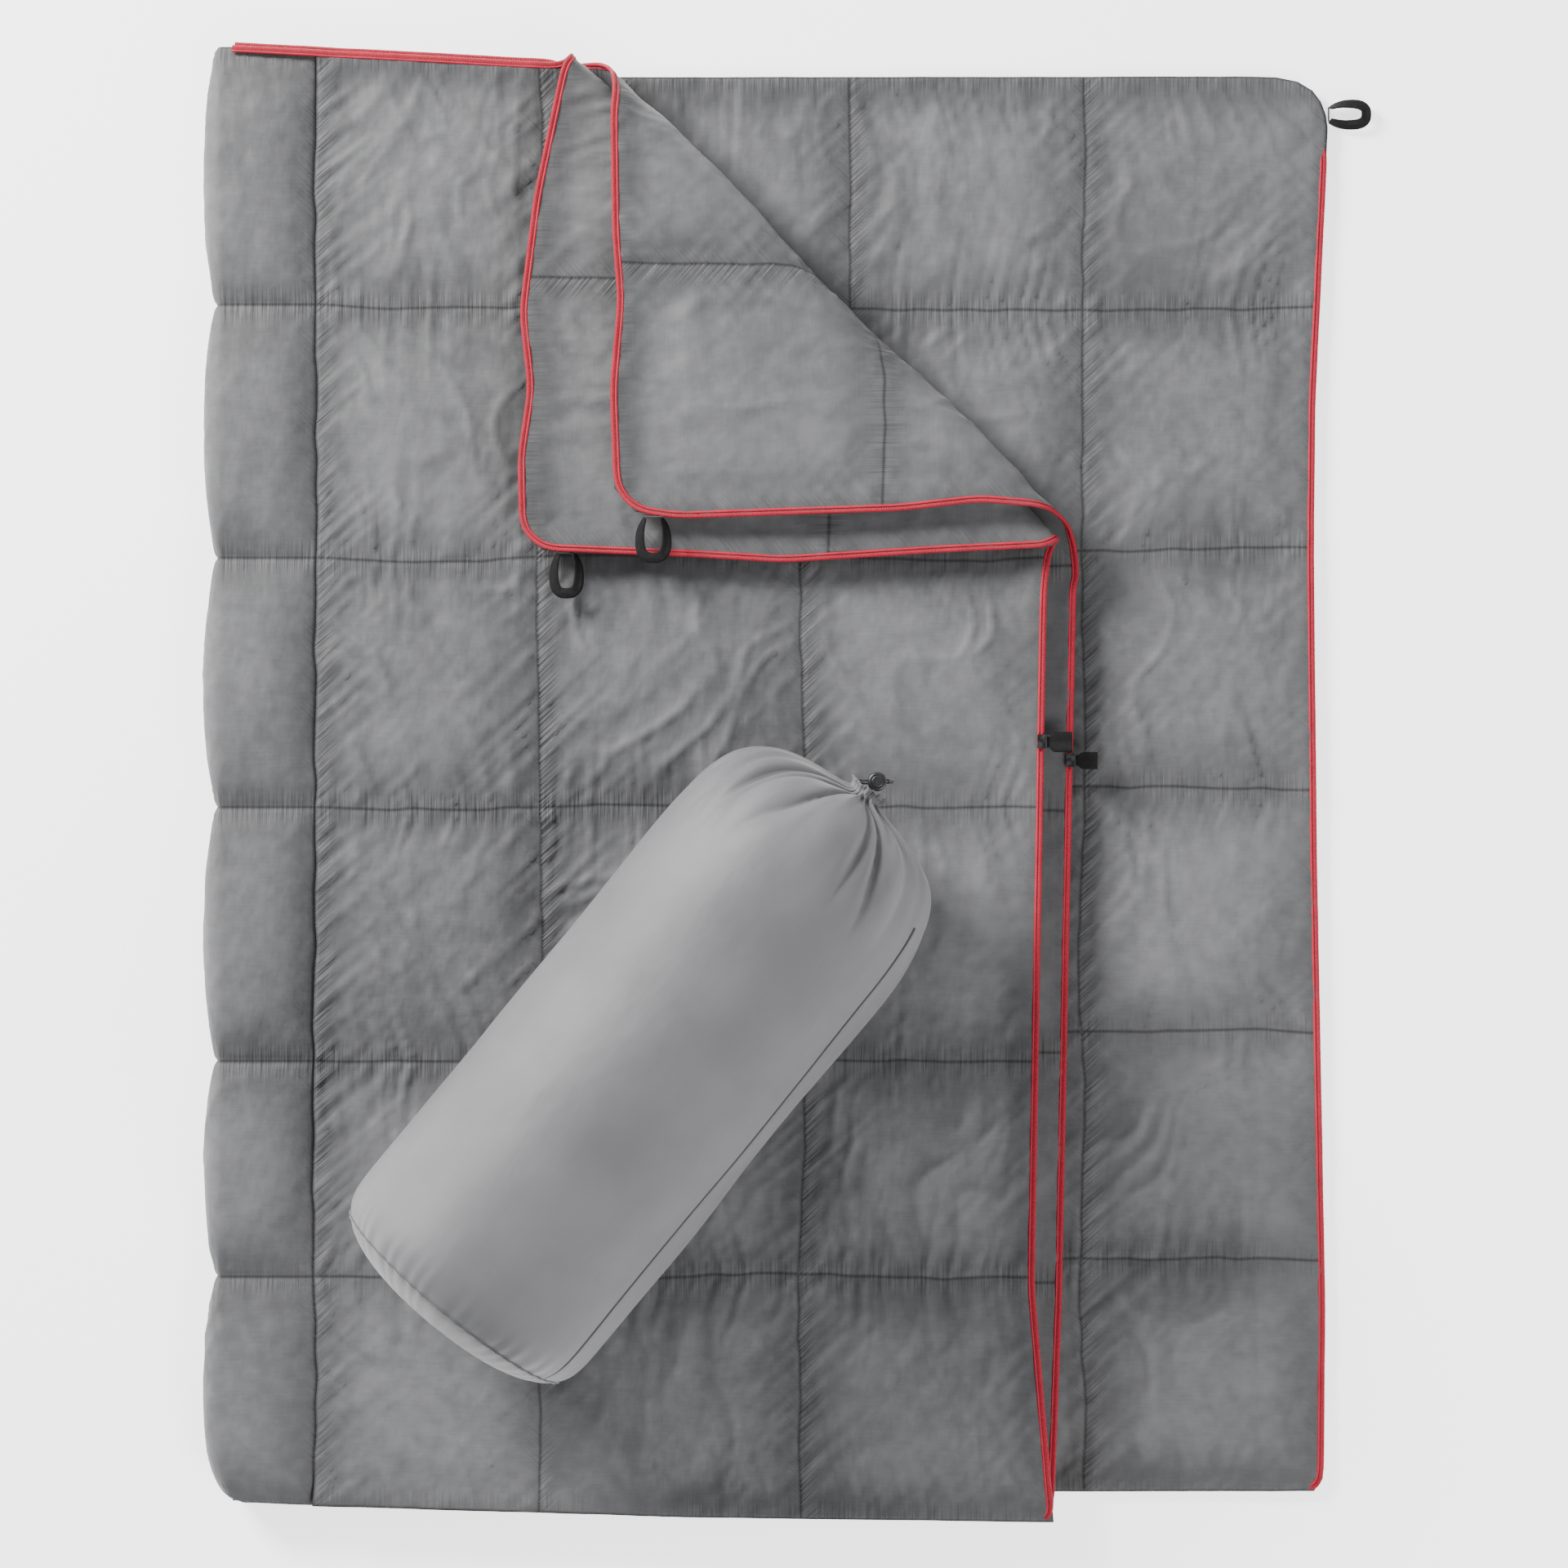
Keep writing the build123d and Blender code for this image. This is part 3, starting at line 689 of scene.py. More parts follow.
def zip_cloth():
    """Red zip: the woven tape with its row of stitches, the coil's close teeth, and painted shade in the
    groove between coil and tape.
    """
    s = Shader("zip_red", (0.40, 0.010, 0.020), 0.55, Specular_IOR_Level=0.3)
    along = s.attribute("along")
    across = s.attribute("across")
    coil = s.between(across, 0.0045, 0.0055, 1, 0)
    tone = s.noise(s.vector(s.by(along, 30.0), across), 1.0, 3.0)
    colour = s.tint(tone, (0.32, 0.007, 0.022), (0.52, 0.018, 0.042))
    # Painted shade: the colour darkens to 0.35 along the groove between the coil and the tape.
    painted_groove_shade = s.between(s.calc("ABSOLUTE", s.calc("SUBTRACT", across, 0.0048)), 0.0002, 0.0010, 0.35, 1.0)
    dash = s.between(s.calc("FRACT", s.by(along, 1 / 0.003)), 0.3, 0.4)
    row = s.between(s.calc("ABSOLUTE", s.calc("SUBTRACT", across, 0.0068)), 0.0003, 0.0007, 1, 0)
    stitch = s.by(row, dash)
    colour = s.times(s.times(colour, painted_groove_shade), s.calc("MULTIPLY_ADD", stitch, 0.5, 1.0))
    s.colour(colour)
    teeth = s.calc("SINE", s.by(along, 2 * math.pi / 0.0016))
    s.bump(s.by(teeth, coil), 0.0004, 0.9)
    s.bump(s.weave(along, across, 0.0008), 0.0002, 0.7)
    s.bump(stitch, 0.0004, 1.0)
    return s.material


def webbing_cloth():
    """Black polypropylene webbing, with slanting ribs."""
    s = Shader("black_webbing", (0.006, 0.006, 0.006), 0.7, Specular_IOR_Level=0.18)
    along = s.attribute("along")
    across = s.attribute("across")
    tone = s.noise(s.vector(s.by(along, 300.0), s.by(across, 600.0)), 1.0, 3.0)
    s.colour(s.tint(tone, (0.003, 0.003, 0.003), (0.016, 0.016, 0.017)))
    rib = s.calc("SINE", s.by(s.calc("ADD", along, s.calc("ABSOLUTE", across)), 2 * math.pi / 0.0022))
    s.bump(rib, 0.0004, 0.9)
    s.bump(s.weave(along, across, 0.0012), 0.0003, 0.8)
    return s.material


def rough_solid(name, low, high, roughness, scale, distance, metallic=0.0):
    """A hard part's finish: a slightly uneven tone and a fine grain."""
    s = Shader(name, high, roughness, Metallic=metallic)
    place = s.place()
    s.colour(s.tint(s.between(s.noise(place, scale / 6, 4.0), 0.35, 0.7), low, high))
    s.bump(s.noise(place, scale, 3.0), distance, 0.6)
    return s.material


def braid(name, low, high):
    """A braided or twisted thread."""
    s = Shader(name, high, 0.6, Sheen_Weight=0.3)
    place = s.place()
    s.colour(s.tint(s.noise(place, 500.0, 3.0), low, high))
    wave = s.node("ShaderNodeTexWave", wave_type="BANDS", bands_direction="DIAGONAL")
    s.tree.links.new(place, wave.inputs["Vector"])
    wave.inputs["Scale"].default_value = 260.0
    wave.inputs["Distortion"].default_value = 1.5
    s.bump(wave.outputs["Fac"], 0.0006, 0.9)
    return s.material


# ---- strips that are swept along a line ----
def along_path(points, step):
    """Points about step apart along a polyline, and how far along it each is."""
    points = np.asarray(points, float)
    gaps = np.linalg.norm(np.diff(points, axis=0), axis=1)
    reach = np.concatenate([[0], np.cumsum(gaps)])
    at = np.linspace(0, reach[-1], max(3, int(reach[-1] / step) + 1))
    return np.stack([np.interp(at, reach, points[:, k]) for k in range(points.shape[1])], -1), at


def rounded(points, times=2):
    """A polyline with its corners cut, so that it runs smoothly. Its ends stay."""
    points = np.asarray(points, float)
    for _ in range(times):
        cut = [points[0]]
        for a, b in zip(points[:-1], points[1:]):
            cut += [0.75 * a + 0.25 * b, 0.25 * a + 0.75 * b]
        points = np.array(cut + [points[-1]])
    return points


def rounded_corners(points, size):
    """A polyline whose corners are rounded over a short distance only, so that it stays on its outline."""
    points = np.asarray(points, float)
    made = [points[0]]
    for before, here, after in zip(points[:-2], points[1:-1], points[2:]):
        back = before - here
        ahead = after - here
        back = back * min(0.45, size / np.linalg.norm(back))
        ahead = ahead * min(0.45, size / np.linalg.norm(ahead))
        for t in (0.0, 0.25, 0.5, 0.75, 1.0):
            made.append(here + back * (1 - t) ** 2 + ahead * t ** 2)
    return np.array(made + [points[-1]])


def swept(name, rings, along, across, material, closed=False):
    """A closed strip through the given rings of points."""
    count, size = rings.shape[:2]
    index = np.arange(count * size).reshape(count, size)
    following = np.roll(index, -1, axis=0) if closed else index[1:]
    here = index if closed else index[:-1]
    quads = np.stack([here, np.roll(here, -1, 1), np.roll(following, -1, 1), following], -1).reshape(-1, 4)
    faces = quads.tolist()
    if not closed:
        faces += [index[0][::-1].tolist(), index[-1].tolist()]
    made = mesh_object(name, rings, faces, material)
    store(made, "along", np.repeat(along, size))
    store(made, "across", np.tile(across, count))
    return made


# The zip's section, round the coil and the tape: how far inward and how high each point is.
ZIP_PROFILE = [(-0.0012, 0.0), (-0.0007, 0.0016), (0.0010, 0.0027), (0.0030, 0.0024), (0.0044, 0.0012),
               (0.0052, 0.0020), (0.0066, 0.0022), (0.0080, 0.0012), (0.0082, -0.0012),
               (0.0066, -0.0022), (0.0052, -0.0018), (0.0044, -0.0008), (0.0030, -0.0022),
               (0.0010, -0.0024), (-0.0007, -0.0014)]


def zip_edge(name, edge, place, material, tucked):
    """The zip along a quilt's free edge: a coil outside and a tape inside. The quilt is on the edge's left.
    Where tucked(x, y) is 1, the zip lies under the quilt's border."""
    path, along = along_path(rounded_corners(edge, 0.022), 0.005)
    way = np.gradient(path, axis=0)
    way = way / np.linalg.norm(way, axis=1)[:, None]
    inward = np.stack([-way[:, 1], way[:, 0]], -1)
    hidden = tucked(path[:, 0], path[:, 1])
    wave = edge_wave(path[:, 0], path[:, 1]) - 0.0065 * hidden
    profile = np.array(ZIP_PROFILE)
    flat = path[:, None, :] + inward[:, None, :] * (profile[None, :, :1] + 0.0060 * hidden[:, None, None])
    height = wave[:, None] + profile[None, :, 1]
    rings = place(flat[..., 0], flat[..., 1], height)
    made = swept(name, rings[:, ::-1], along, profile[::-1, 0], material)
    store(made, "outside", np.repeat((path - BEND_MIDDLE[:2]) @ BEND_OUT, len(profile)))
    return made


# ---- materials of the object ----
GREY_LOW = (0.088, 0.088, 0.090)
GREY_HIGH = (0.134, 0.134, 0.137)
shell = taffeta("quilt_shell", GREY_LOW, GREY_HIGH, 0.60)
lining = taffeta("quilt_lining", GREY_LOW, GREY_HIGH, 0.60)
sack_cloth = satin("sack_fabric", (0.100, 0.099, 0.103), (0.124, 0.122, 0.127))
red = zip_cloth()
webbing = webbing_cloth()
metal = rough_solid("slider_metal", (0.03, 0.03, 0.03), (0.09, 0.09, 0.09), 0.35, 900.0, 0.0002, 0.9)
plastic = rough_solid("black_plastic", (0.008, 0.008, 0.009), (0.022, 0.022, 0.024), 0.38, 1500.0, 0.0002)
steel = rough_solid("spring_steel", (0.35, 0.35, 0.36), (0.55, 0.55, 0.56), 0.25, 2000.0, 0.0001, 1.0)
cord_braid = braid("black_cord", (0.008, 0.008, 0.008), (0.03, 0.03, 0.03))
thread = braid("bar_thread", (0.01, 0.01, 0.01), (0.05, 0.05, 0.05))
trim = braid("sack_trim", (0.035, 0.035, 0.036), (0.075, 0.075, 0.077))


# ---- the base quilt ----
def base_place(x, y, height):
    """A point of the base quilt."""
    return lay_flat(x, y, height, BASE_Z)


def make_base():
    """The base quilt and its zip."""
    made = quilt("quilt_base", [SHEET_LEFT] + BASE_SEAMS_X + [0.700], [-0.927] + BASE_SEAMS_Y + [0.925],
                 BASE_SIDE, BASE_HEAD, BASE_FOOT, lambda outside: np.full(outside.shape, SEAM_LEVEL), 100,
                 base_place, (1, 2), shell, head_zip=False, bare=0.0005)
    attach(made, "base")
    declare(made, "quilt_shell", "base_bottom_shell", "base_batting", "base_lining", fill=QUILT_FILL)
    strip = zip_edge("zip_base", BASE_FOOT[:1] + BASE_SIDE + BASE_HEAD[-2::-1], base_place, red,
                     lambda x, y: np.maximum(1 - smooth(x, 0.675, 0.693), smooth(y, 0.81, 0.87)))
    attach(strip, "base")
    declare(strip, "zip_red", "base_zip_tape", "base_zip_coil")


# ---- the front quilt ----
def front_place(x, y, height):
    """A point of the front quilt, the corner turned back."""
    return fold(x, y, height, FRONT_Z, FRONT_ROLL)


def front_level(outside):
    """The height of the front's seams: low on the main part, high on the turned corner."""
    return SEAM_LEVEL + 0.0135 * smooth(outside, 0, math.pi * FRONT_ROLL)


def foot_tuck(x, y):
    """1 along the foot edge, where a zip lies under the quilt's border."""
    return (y < -0.90) * (1 - smooth(x, 0.325, 0.345))


def turned(whole, radius, corner_body):
    """Parts a piece at the bend. Its main part rides on the cover, its corner on the corner's own body, and
    the roll bends between the two."""
    main, roll, corner = parted(whole, radius)
    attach(main, "cover")
    low = Vector((*BEND_MIDDLE[:2], BEND_Z - 0.75 * radius))
    high = Vector((*BEND_MIDDLE[:2], BEND_Z + 0.75 * radius))
    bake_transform(roll, "cover", corner_body, start=low, end=high)
    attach(corner, corner_body)
    return main, roll, corner


def make_front():
    """The front quilt with its corner turned back, and its zip."""
    side = FRONT_SIDE + unfold(FRONT_CORNER_SIDE, FRONT_ROLL)
    head = FRONT_HEAD + unfold(FRONT_CORNER_HEAD, FRONT_ROLL)
    made = quilt("quilt_front", [SEAM_FRONT_X] + FRONT_SEAMS_X + [0.345],
                 [-0.950] + FRONT_SEAMS_Y + [0.955], side, head, FRONT_FOOT, front_level, 200,
                 front_place, (1, 1), shell, half=0.0110)
    main, roll, corner = turned(made, FRONT_ROLL, "front_corner")
    declare(main, "quilt_shell", "front_shell", "front_batting", "front_lining", fill=QUILT_FILL)
    declare(roll, "quilt_shell", "front_bend_shell", "front_bend_batting", fill=QUILT_FILL)
    declare(corner, "quilt_shell", "front_corner_shell", "front_corner_batting", "front_corner_lining",
            fill=QUILT_FILL)
    strip = zip_edge("zip_front", FOOT_ZIP + side + head[-2::-1], front_place, red, foot_tuck)
    main, roll, corner = turned(strip, FRONT_ROLL, "front_corner")
    declare(main, "zip_red", "front_zip_tape", "front_zip_coil")
    declare(roll, "zip_red")
    declare(corner, "zip_red", "front_corner_zip_tape", "front_corner_zip_coil")


# ---- the liner quilt ----
def liner_place(x, y, height):
    """A point of the liner quilt, the corner turned back."""
    return fold(x, y, height, LINER_Z, LINER_ROLL)


def liner_level(outside):
    """The height of the liner's seams: at the middle of the main part, high on the turned corner."""
    return 0.0070 * smooth(outside, 0, math.pi * LINER_ROLL)


def make_liner():
    """The liner quilt with its corner turned back over the front's, and its zip."""
    side = LINER_SIDE + unfold(LINER_CORNER_SIDE, LINER_ROLL)
    head = LINER_HEAD + unfold(LINER_CORNER_HEAD, LINER_ROLL)
    made = quilt("quilt_liner", [SHEET_LEFT] + LINER_SEAMS_X + [0.380], [-0.940] + LINER_SEAMS_Y + [0.955],
                 side, head, LINER_FOOT, liner_level, 300, liner_place, (2, 1), lining)
    main, roll, corner = turned(made, LINER_ROLL, "liner_corner")
    declare(main, "quilt_lining", "liner_top_fabric", "liner_batting", "liner_bottom_fabric",
            fill=QUILT_FILL)
    declare(roll, "quilt_lining", fill=QUILT_FILL)
    declare(corner, "quilt_lining", "liner_corner_top_fabric", "liner_corner_batting",
            "liner_corner_bottom_fabric", fill=QUILT_FILL)
    strip = zip_edge("zip_liner", FOOT_ZIP + side + head[-2::-1], liner_place, red, foot_tuck)
    main, roll, corner = turned(strip, LINER_ROLL, "liner_corner")
    declare(main, "zip_red", "liner_zip_tape", "liner_zip_coil")
    declare(roll, "zip_red")
    declare(corner, "zip_red", "liner_corner_zip_tape", "liner_corner_zip_coil")


# ---- the left fold ----
def fold_line(share, radius, top, low_radius):
    """x and z of a point of the fold's line, which runs from the front's seam round to the ground."""
    flat = SEAM_FRONT_X - FOLD_X
    turn = math.pi * 0.036  # the half circle, on the fold's own radius
    reach = share * (flat + turn)
    angle = np.clip((reach - flat) / turn, 0, 1) * math.pi
    tall = np.where(angle < math.pi / 2, top - FOLD_Z, low_radius)
    x = np.where(reach < flat, SEAM_FRONT_X - reach, FOLD_X - radius * np.sin(angle))
    z = np.where(reach < flat, top, FOLD_Z + tall * np.cos(angle))
    return x, z


def make_fold():
    """The strip of outer quilt from the front's first seam, over the left fold, down to the base."""
    xs, ys, relief, aside, below = puffs([0.0, FOLD_STRIP], [-0.934] + FRONT_SEAMS_Y + [0.958], 400)
    share = xs / xs[-1]
    body = np.outer(swell(ys, np.flatnonzero(below[:, 0] == 0), 0.55), swell(xs, [0, len(xs) - 1], 0.5))
    puff = crown(0.30 * relief + 0.66 * body)
    inner_x, inner_z = fold_line(share, 0.010, FRONT_Z - 0.0070, 0.024)
    outer_x, outer_z = fold_line(share, 0.0352, FRONT_Z + HALF, 0.0354)
    x = inner_x + (outer_x - inner_x) * puff
    z = inner_z + (outer_z - inner_z) * puff
    y = np.broadcast_to(ys[:, None], x.shape)
    low_y = edge_at(FRONT_FOOT, x[0], 0)
    high_y = edge_at(FRONT_HEAD, x[-1], 0)
    share_y = (ys[:, None] - ys[0]) / (ys[-1] - ys[0])
    y = y + (low_y - ys[0]) * (1 - smooth(share_y, 0, 0.1)) + (high_y - ys[-1]) * smooth(share_y, 0.9, 1)
    x = x + seam_wander(y) * (1 - smooth(xs, 0, 0.06))[None, :]
    round_end = 1 - np.sqrt(1 - (1 - np.clip((ys - ys[0]) / 0.07, 0, 1)) ** 2)
    x = x + 0.030 * round_end[:, None] * smooth(xs, 0.02, 0.13)[None, :]  # the rounded foot corner
    outer = np.stack([x, y, z], -1)
    rim = np.minimum(edge_gap(xs)[None, :], edge_gap(ys)[:, None])
    depth = 0.0016 + 0.007 * smooth(rim, 0, 0.05)
    turn = math.pi * np.clip(share * 2 - 1, 0, 1)
    inner = np.stack([x + depth * np.sin(turn), y, z], -1)
    inner[..., 2] -= depth * np.cos(turn)
    made, used = closed_sheet("quilt_fold", outer, inner, 1, 2, shell)
    stitched(made, used, np.broadcast_to(SEAM_FRONT_X - xs, x.shape), y, aside, below)
    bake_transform(made, "base", "cover", start=Vector((FOLD_X, 0, 0.010)), end=Vector((FOLD_X, 0, 0.048)))
    declare(made, "quilt_shell", "fold_shell", "fold_batting", fill=QUILT_FILL)


# ---- the stuff sack ----
SACK_BASE = np.array([-0.413, -0.643])
SACK_RADIUS = (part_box("sack_body")[1].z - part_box("sack_body")[0].z) / 2
SACK_Z = middle_height("sack_body")
SACK_NECK = np.array([0.110, -0.002])
SACK_WAY = (SACK_NECK - SACK_BASE) / np.linalg.norm(SACK_NECK - SACK_BASE)
SACK_ASIDE = np.array([-SACK_WAY[1], SACK_WAY[0]])
# How wide the sack is at each distance along its axis, from the end panel's middle to the neck's mouth.
SACK_LINE = [(-0.034, 0.000), (-0.0335, 0.040), (-0.030, 0.085), (-0.022, 0.125), (-0.008, 0.155),
             (0.010, 0.172), (0.034, 0.180), (0.080, 0.181), (0.600, 0.181), (0.694, 0.1805),
             (0.735, 0.172), (0.765, 0.156), (0.785, 0.130), (0.797, 0.095), (0.803, 0.058),
             (0.806, 0.030), (0.810, 0.0215), (0.816, 0.0225), (0.822, 0.030)]
SACK_ROWS = 260
SACK_COLUMNS = 288
SACK_GATHERS = 24  # folds round the neck
SACK_END_SEAM = 0.175  # how far along the skin the end panel's seam is
SACK_CROWN_SEAM = 0.90  # how far along the skin the side seam ends


def sack_points():
    """The sack's skin, row by row from the end panel to the mouth. Returns the points, how far along the
    skin each row is, and each point's angle about the axis."""
    line, reach = along_path(rounded(SACK_LINE, 2), 0.004)
    at = np.linspace(0, 1, SACK_ROWS)
    along = np.interp(at, reach / reach[-1], line[:, 0])[:, None]
    radius = np.interp(at, reach / reach[-1], line[:, 1])[:, None]
    angle = np.linspace(0, 2 * math.pi, SACK_COLUMNS, endpoint=False)[None, :]
    skin = at[:, None] * reach[-1]
    ring_x = np.cos(angle)
    ring_y = np.sin(angle)
    lumps = noise(ring_x * 2 + skin * 5, ring_y * 2 + 9, 61)
    lumps = lumps + 0.6 * noise(ring_x * 4 + 3, ring_y * 4 + skin * 9, 62)
    wide = radius * (1 + 0.010 * lumps * smooth(radius, 0.05, 0.15))
    gather = smooth(along, 0.62, 0.80)
    turn = angle * SACK_GATHERS / (2 * math.pi)
    folds = creases(turn + 0.8 * noise(ring_x * 2, ring_y * 2 + skin * 4, 63), 0 * angle + skin * 3, 64)
    deep = creases(turn * 0.5 + 0.5 * noise(ring_x * 3, ring_y * 3, 65), 0 * angle + skin * 2, 66)
    room = np.clip((radius - 0.020) / 0.05, 0.08, 1)  # the folds are shallow in the narrow neck
    wide = wide - gather ** 1.5 * (0.022 * folds + 0.026 * deep) * room
    along = along + 0.004 * gather * noise(ring_x * 6, ring_y * 6 + skin * 8, 67)
    end = smooth(along, 0.06, -0.01)
    wide = wide * (1 + 0.006 * end * np.sin(angle * 46 + 3 * noise(ring_x * 5, ring_y * 5, 68)))
    aside = wide * ring_x
    up = wide * ring_y
    up = np.where(up < -0.14, -0.14 - (-0.14 - up) * 0.92, up)
    flat = SACK_BASE + along[..., None] * SACK_WAY + aside[..., None] * SACK_ASIDE
    return np.concatenate([flat, SACK_Z + up[..., None]], -1), skin, angle


def make_sack():
    """The filled stuff sack, gathered at its neck."""
    points, skin, angle = sack_points()
    rows, columns = points.shape[:2]
    index = np.arange(rows * columns).reshape(rows, columns)
    following = np.roll(index, -1, axis=1)
    quads = np.stack([index[:-1], following[:-1], following[1:], index[1:]], -1).reshape(-1, 4)
    faces = quads[:, ::-1].tolist()
    middle = points[-1].mean(0)
    base = rows * columns
    inside = middle + (points[-1] - middle) * 0.72 - np.append(SACK_WAY, 0) * 0.004
    faces += [[int(index[-1, j]), int(following[-1, j]), base + (j + 1) % columns, base + j][::-1]
              for j in range(columns)]
    faces.append([base + j for j in range(columns)][::-1])
    everything = np.concatenate([points.reshape(-1, 3), inside])
    made = mesh_object("stuff_sack", everything, faces, sack_cloth)
    store(made, "flat_x", np.append(skin + 0 * angle, np.zeros(columns)))
    store(made, "flat_y", np.append(np.abs(angle - math.pi) * SACK_RADIUS + 0 * skin, np.zeros(columns)))
    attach(made, "sack")
    declare(made, "sack_fabric", "sack_end_panel", "sack_body", "sack_crown", "sack_filling",
            "sack_neck_hem", fill=0.9)


def corded(name, line, across, up, along, closed=False):
    """A thin sewn-in cord of the sack's trim along a line. across and up are half its width and half its
    height, as vectors at each point of the line."""
    turn = np.linspace(0, 2 * math.pi, 8, endpoint=False)[None, :, None]
    rings = line[:, None, :] + (np.cos(turn) * up[:, None, :] + np.sin(turn) * across[:, None, :])
    made = swept(name, rings, along, 0.002 * turn.ravel(), trim, closed)
    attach(made, "sack")
    return made


def sack_piping():
    """The thin corded seam round the end panel, and the sack's side seam."""
    points, skin, _ = sack_points()
    away = np.argmin(np.abs(skin[:, 0] - SACK_END_SEAM))
    ring = points[away]
    middle = ring.mean(0)
    out = (ring - middle) / np.linalg.norm(ring - middle, axis=1)[:, None]
    way = np.append(SACK_WAY, 0)
    along = np.arange(len(ring)) / len(ring) * 2 * math.pi * 0.15
    made = corded("sack_end_cord", ring, -0.0022 * way + 0 * ring, 0.0022 * out, along, closed=True)
    declare(made, "sack_trim", "sack_end_piping")
    seam_low, seam_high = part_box("sack_side_seam")
    height = (seam_low.z + seam_high.z) / 2 - SACK_Z
    side = math.asin(max(-1.0, min(1.0, height / SACK_RADIUS)))
    towards = np.array([(seam_low.x + seam_high.x) / 2, (seam_low.y + seam_high.y) / 2]) - SACK_BASE
    if towards @ SACK_ASIDE < 0:
        side = math.pi - side
    column = round(side / (2 * math.pi) * SACK_COLUMNS) % SACK_COLUMNS
    rows = points[away:np.argmin(np.abs(skin[:, 0] - SACK_CROWN_SEAM)), column]
    offset = rows - np.append(SACK_BASE, SACK_Z)
    outward = offset - (offset @ way)[:, None] * way
    outward = outward / np.linalg.norm(outward, axis=1)[:, None]
    across = 0.0016 * 1.6 * np.cross(outward, way)
    made = corded("sack_side_cord", rows, across, 0.0016 * outward, skin[away:away + len(rows), 0])
    declare(made, "sack_trim", "sack_side_seam")


# ---- webbing loops and pulls ----
def strap_rings(path, tilt, width, thick):
    """The rings of a flat strap with rounded edges along a path. tilt turns it from on edge to flat."""
    way = np.gradient(path, axis=0)
    way = way / np.linalg.norm(way, axis=1)[:, None]
    out = np.stack([way[:, 1], -way[:, 0], 0 * way[:, 0]], -1)
    out = out / np.linalg.norm(out, axis=1)[:, None]
    up = np.cross(out, way)
    broad = up * np.cos(tilt)[:, None] + out * np.sin(tilt)[:, None]
    face = out * np.cos(tilt)[:, None] - up * np.sin(tilt)[:, None]
    half = width / 2
    upper = [(-half + 0.0005, thick / 2), (-half * 0.5, thick * 0.56), (0, thick * 0.5),
             (half * 0.5, thick * 0.56), (half - 0.0005, thick / 2)]
    lower = [(x, -y) for x, y in upper[::-1]]
    outline = np.array([(-half, 0)] + upper + [(half, 0)] + lower)
    rings = path[:, None, :] + broad[:, None, :] * outline[None, :, :1]
    return rings + face[:, None, :] * outline[None, :, 1:], outline[:, 0]


def make_loop(node, body, root, heading, width, reach):
    """A loop of webbing, stitched down at its root and twisted towards flat at its tip."""
    half = width / 2 - 0.0012
    side = [(0.0016, 0.60 * half), (0.22 * reach, 0.86 * half), (0.45 * reach, half),
            (0.80 * reach, 0.94 * half), (0.96 * reach, 0.55 * half), (0.98 * reach, 0)]
    line = np.array(side + [(x, -y) for x, y in side[-2::-1]])
    line, along = along_path(rounded(line, 3), 0.0015)
    tilt = 0.25 + 1.15 * np.sin(math.pi * along / along[-1]) ** 0.8
    way = np.array([math.cos(heading), math.sin(heading)])
    flat = np.array(root) + line[:, :1] * way + line[:, 1:] * np.array([-way[1], way[0]])
    height = middle_height(node) + 0.0015 * np.sin(2 * math.pi * along / along[-1])
    path = np.concatenate([flat, height[:, None]], -1)
    rings, across = strap_rings(path, tilt, WEBBING_WIDTH, WEBBING_THICK)
    made = swept(node + "_strap", rings, along, across, webbing)
    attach(made, body)
    declare(made, "black_webbing", node)


def make_pull(node, body):
    """A slider's pull: a short strap of webbing, folded through the slider's eye and stitched to itself."""
    low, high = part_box(node)
    middle = (low + high) / 2
    long = high.x - low.x
    width = high.y - low.y
    path = np.array([(low.x + 0.001, middle.y, middle.z), (low.x + 0.3 * long, middle.y, middle.z + 0.0006),
                     (low.x + 0.7 * long, middle.y, middle.z + 0.0008), (high.x, middle.y, middle.z)])
    path, along = along_path(rounded(path, 2), 0.0015)
    tilt = np.full(len(path), math.pi / 2)
    grow = smooth(along, 0, 0.010)
    rings, across = strap_rings(path, tilt, 1.0, 0.0030)
    centre = path[:, None, :]
    spread = rings - centre
    spread[..., 1] *= (0.012 + (width - 0.012) * grow)[:, None]
    made = swept(node + "_strap", centre + spread, along, across * width, webbing)
    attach(made, body)
    declare(made, "black_webbing", node)


def finish_cad():
    """Materials for the CAD nodes that stay: sliders, bar tacks, cord lock, drawcord."""
    finishes = (
        (metal, "slider_metal", ("front_zip_slider", "liner_zip_slider")),
        (thread, "black_webbing", ("base_bar_tack", "front_corner_bar_tack", "liner_corner_bar_tack")),
        (plastic, "black_plastic", ("cord_lock_barrel", "cord_lock_plunger")),
        (steel, "spring_steel", ("cord_lock_spring",)),
        (cord_braid, "black_cord", ("sack_drawcord",)))
    for material, slot, nodes in finishes:
        for node in nodes:
            part = frame["nodes"][node]
            part.data.materials.clear()
            part.data.materials.append(material)


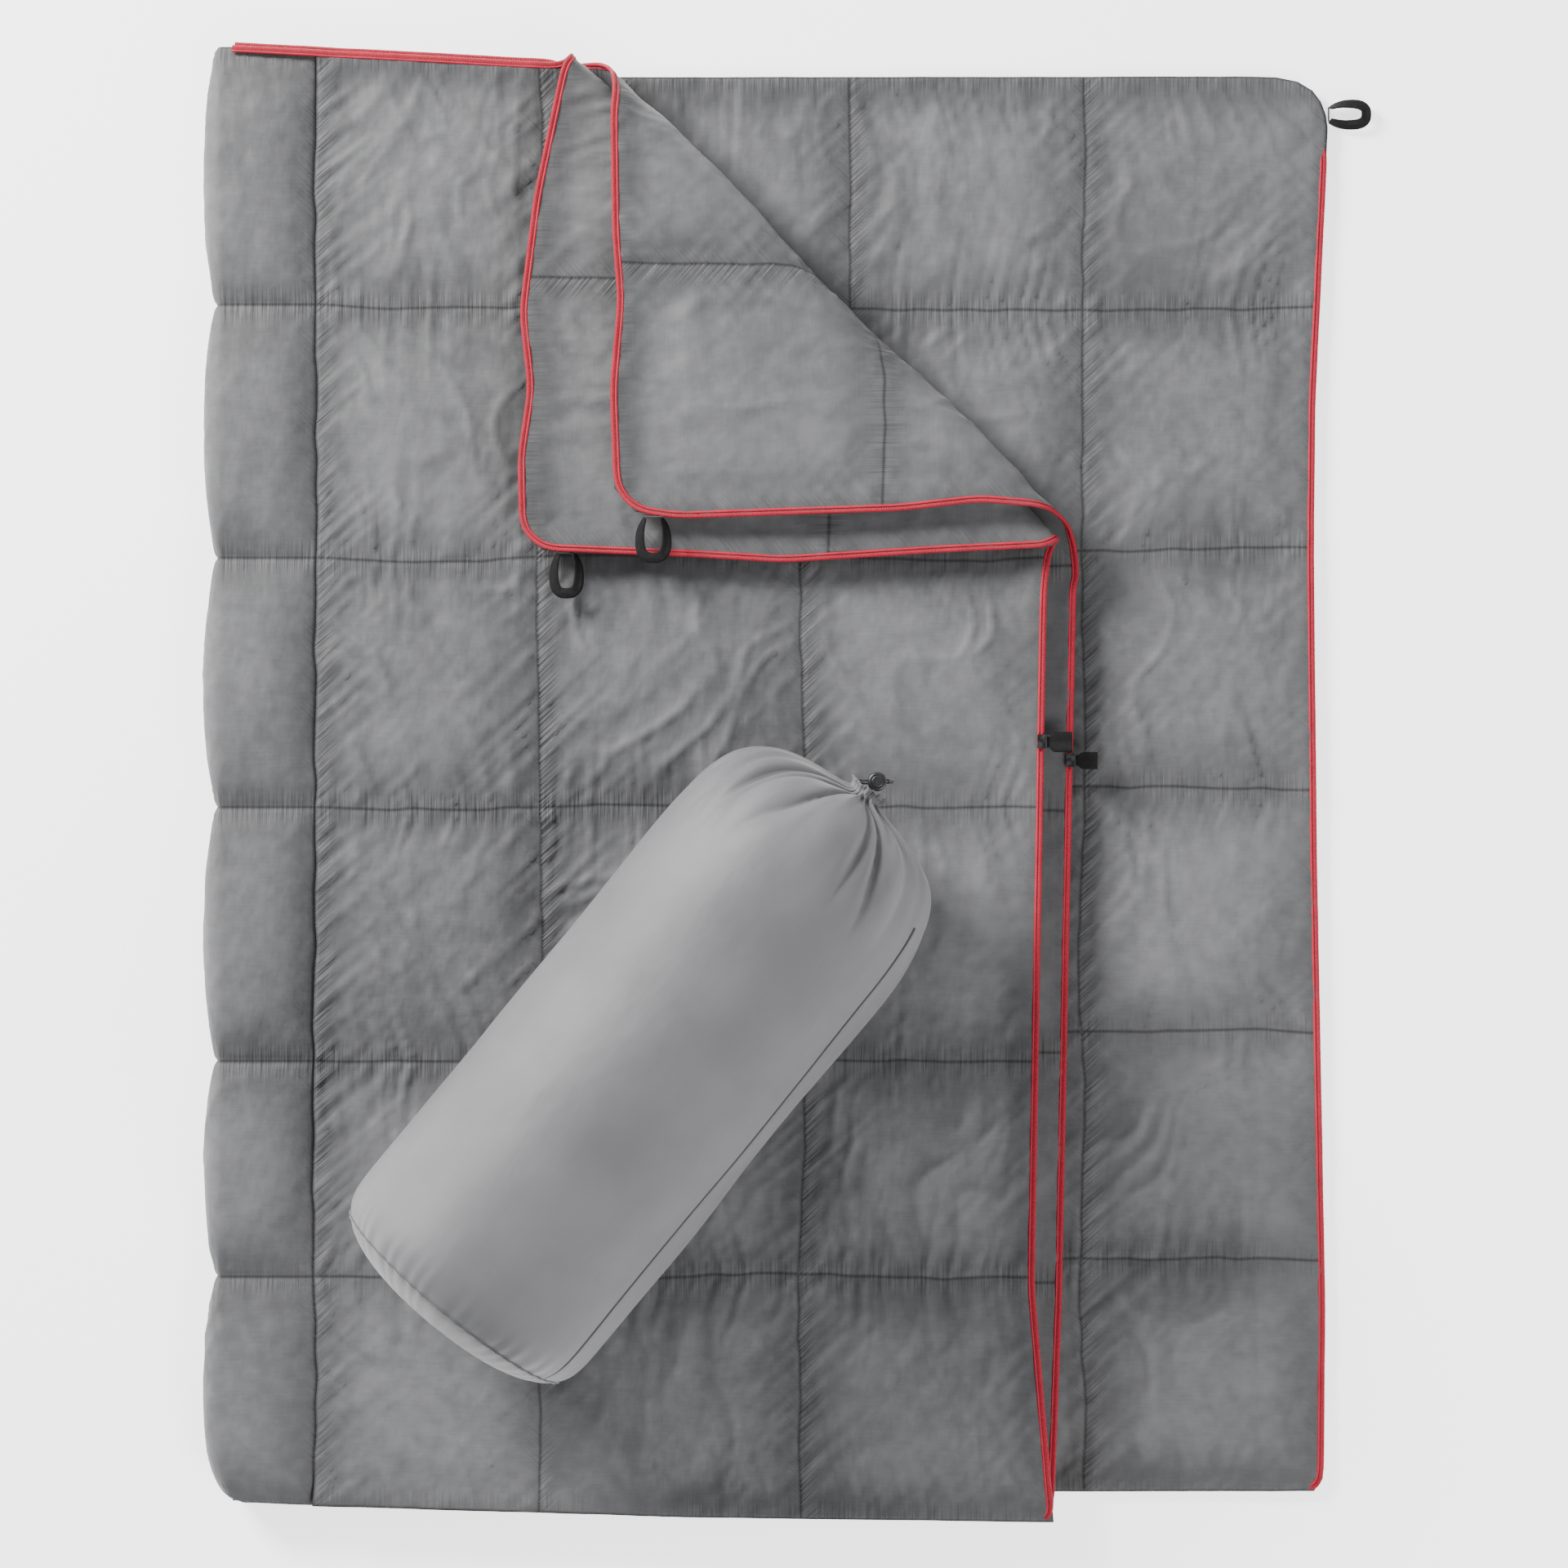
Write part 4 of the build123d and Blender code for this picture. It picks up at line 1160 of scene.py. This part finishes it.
# ---- floor, lights, camera ----
def floor_finish():
    """A plain pale finish, bright enough to read as white."""
    pale = (0.92, 0.92, 0.92, 1)
    material = bpy.data.materials.new("floor")
    material.use_nodes = True
    main = material.node_tree.nodes["Principled BSDF"]
    main.inputs["Base Color"].default_value = pale
    main.inputs["Roughness"].default_value = 0.9
    main.inputs["Emission Color"].default_value = pale
    main.inputs["Emission Strength"].default_value = 1.9
    return material


def lamp(name, place, aim, size, power):
    """A soft square lamp."""
    light = bpy.data.lights.new(name, "AREA")
    light.size = size
    light.energy = power
    made = bpy.data.objects.new(name, light)
    made.location = place
    made.rotation_mode = "QUATERNION"
    made.rotation_quaternion = (Vector(aim) - Vector(place)).to_track_quat("-Z", "Y")
    bpy.context.scene.collection.objects.link(made)


def studio():
    """A pale floor, soft light from above and the upper left, and a camera that looks straight down."""
    corners = [(-6, -6, -0.0004), (6, -6, -0.0004), (6, 6, -0.0004), (-6, 6, -0.0004)]
    floor = mesh_object("floor", corners, [[0, 1, 2, 3]], floor_finish(), soft=False)
    lamp("key", (-4.3, 3.8, 3.0), (0.3, -0.3, 0.0), 2.0, 1200)
    lamp("fill", (2.6, -3.0, 3.2), (0.4, -0.6, 0), 2.6, 230)
    world = bpy.data.worlds.new("world")
    world.use_nodes = True
    world.node_tree.nodes["Background"].inputs["Color"].default_value = (0.94, 0.96, 1.0, 1)
    world.node_tree.nodes["Background"].inputs["Strength"].default_value = 0.56
    bpy.context.scene.world = world
    camera = bpy.data.cameras.new("camera")
    camera.lens = 92.7
    camera.sensor_width = 36
    made = bpy.data.objects.new("camera", camera)
    made.location = (0, 0, 5.30)
    bpy.context.scene.collection.objects.link(made)
    bpy.context.scene.camera = made


make_base()
make_front()
make_liner()
make_fold()
make_sack()
sack_piping()
make_loop("base_loop", "base_corner_loop", (0.7132, 0.877), 0.0, 0.030, 0.0508)
make_loop("front_corner_loop", "front_loop", (-0.281, 0.299), -math.pi / 2, 0.036, 0.054)
make_loop("liner_corner_loop", "liner_loop", (-0.168, 0.3434), -math.pi / 2, 0.038, 0.054)
make_pull("front_pull_tab", "front_pull")
make_pull("liner_pull_tab", "liner_pull")
finish_cad()
studio()
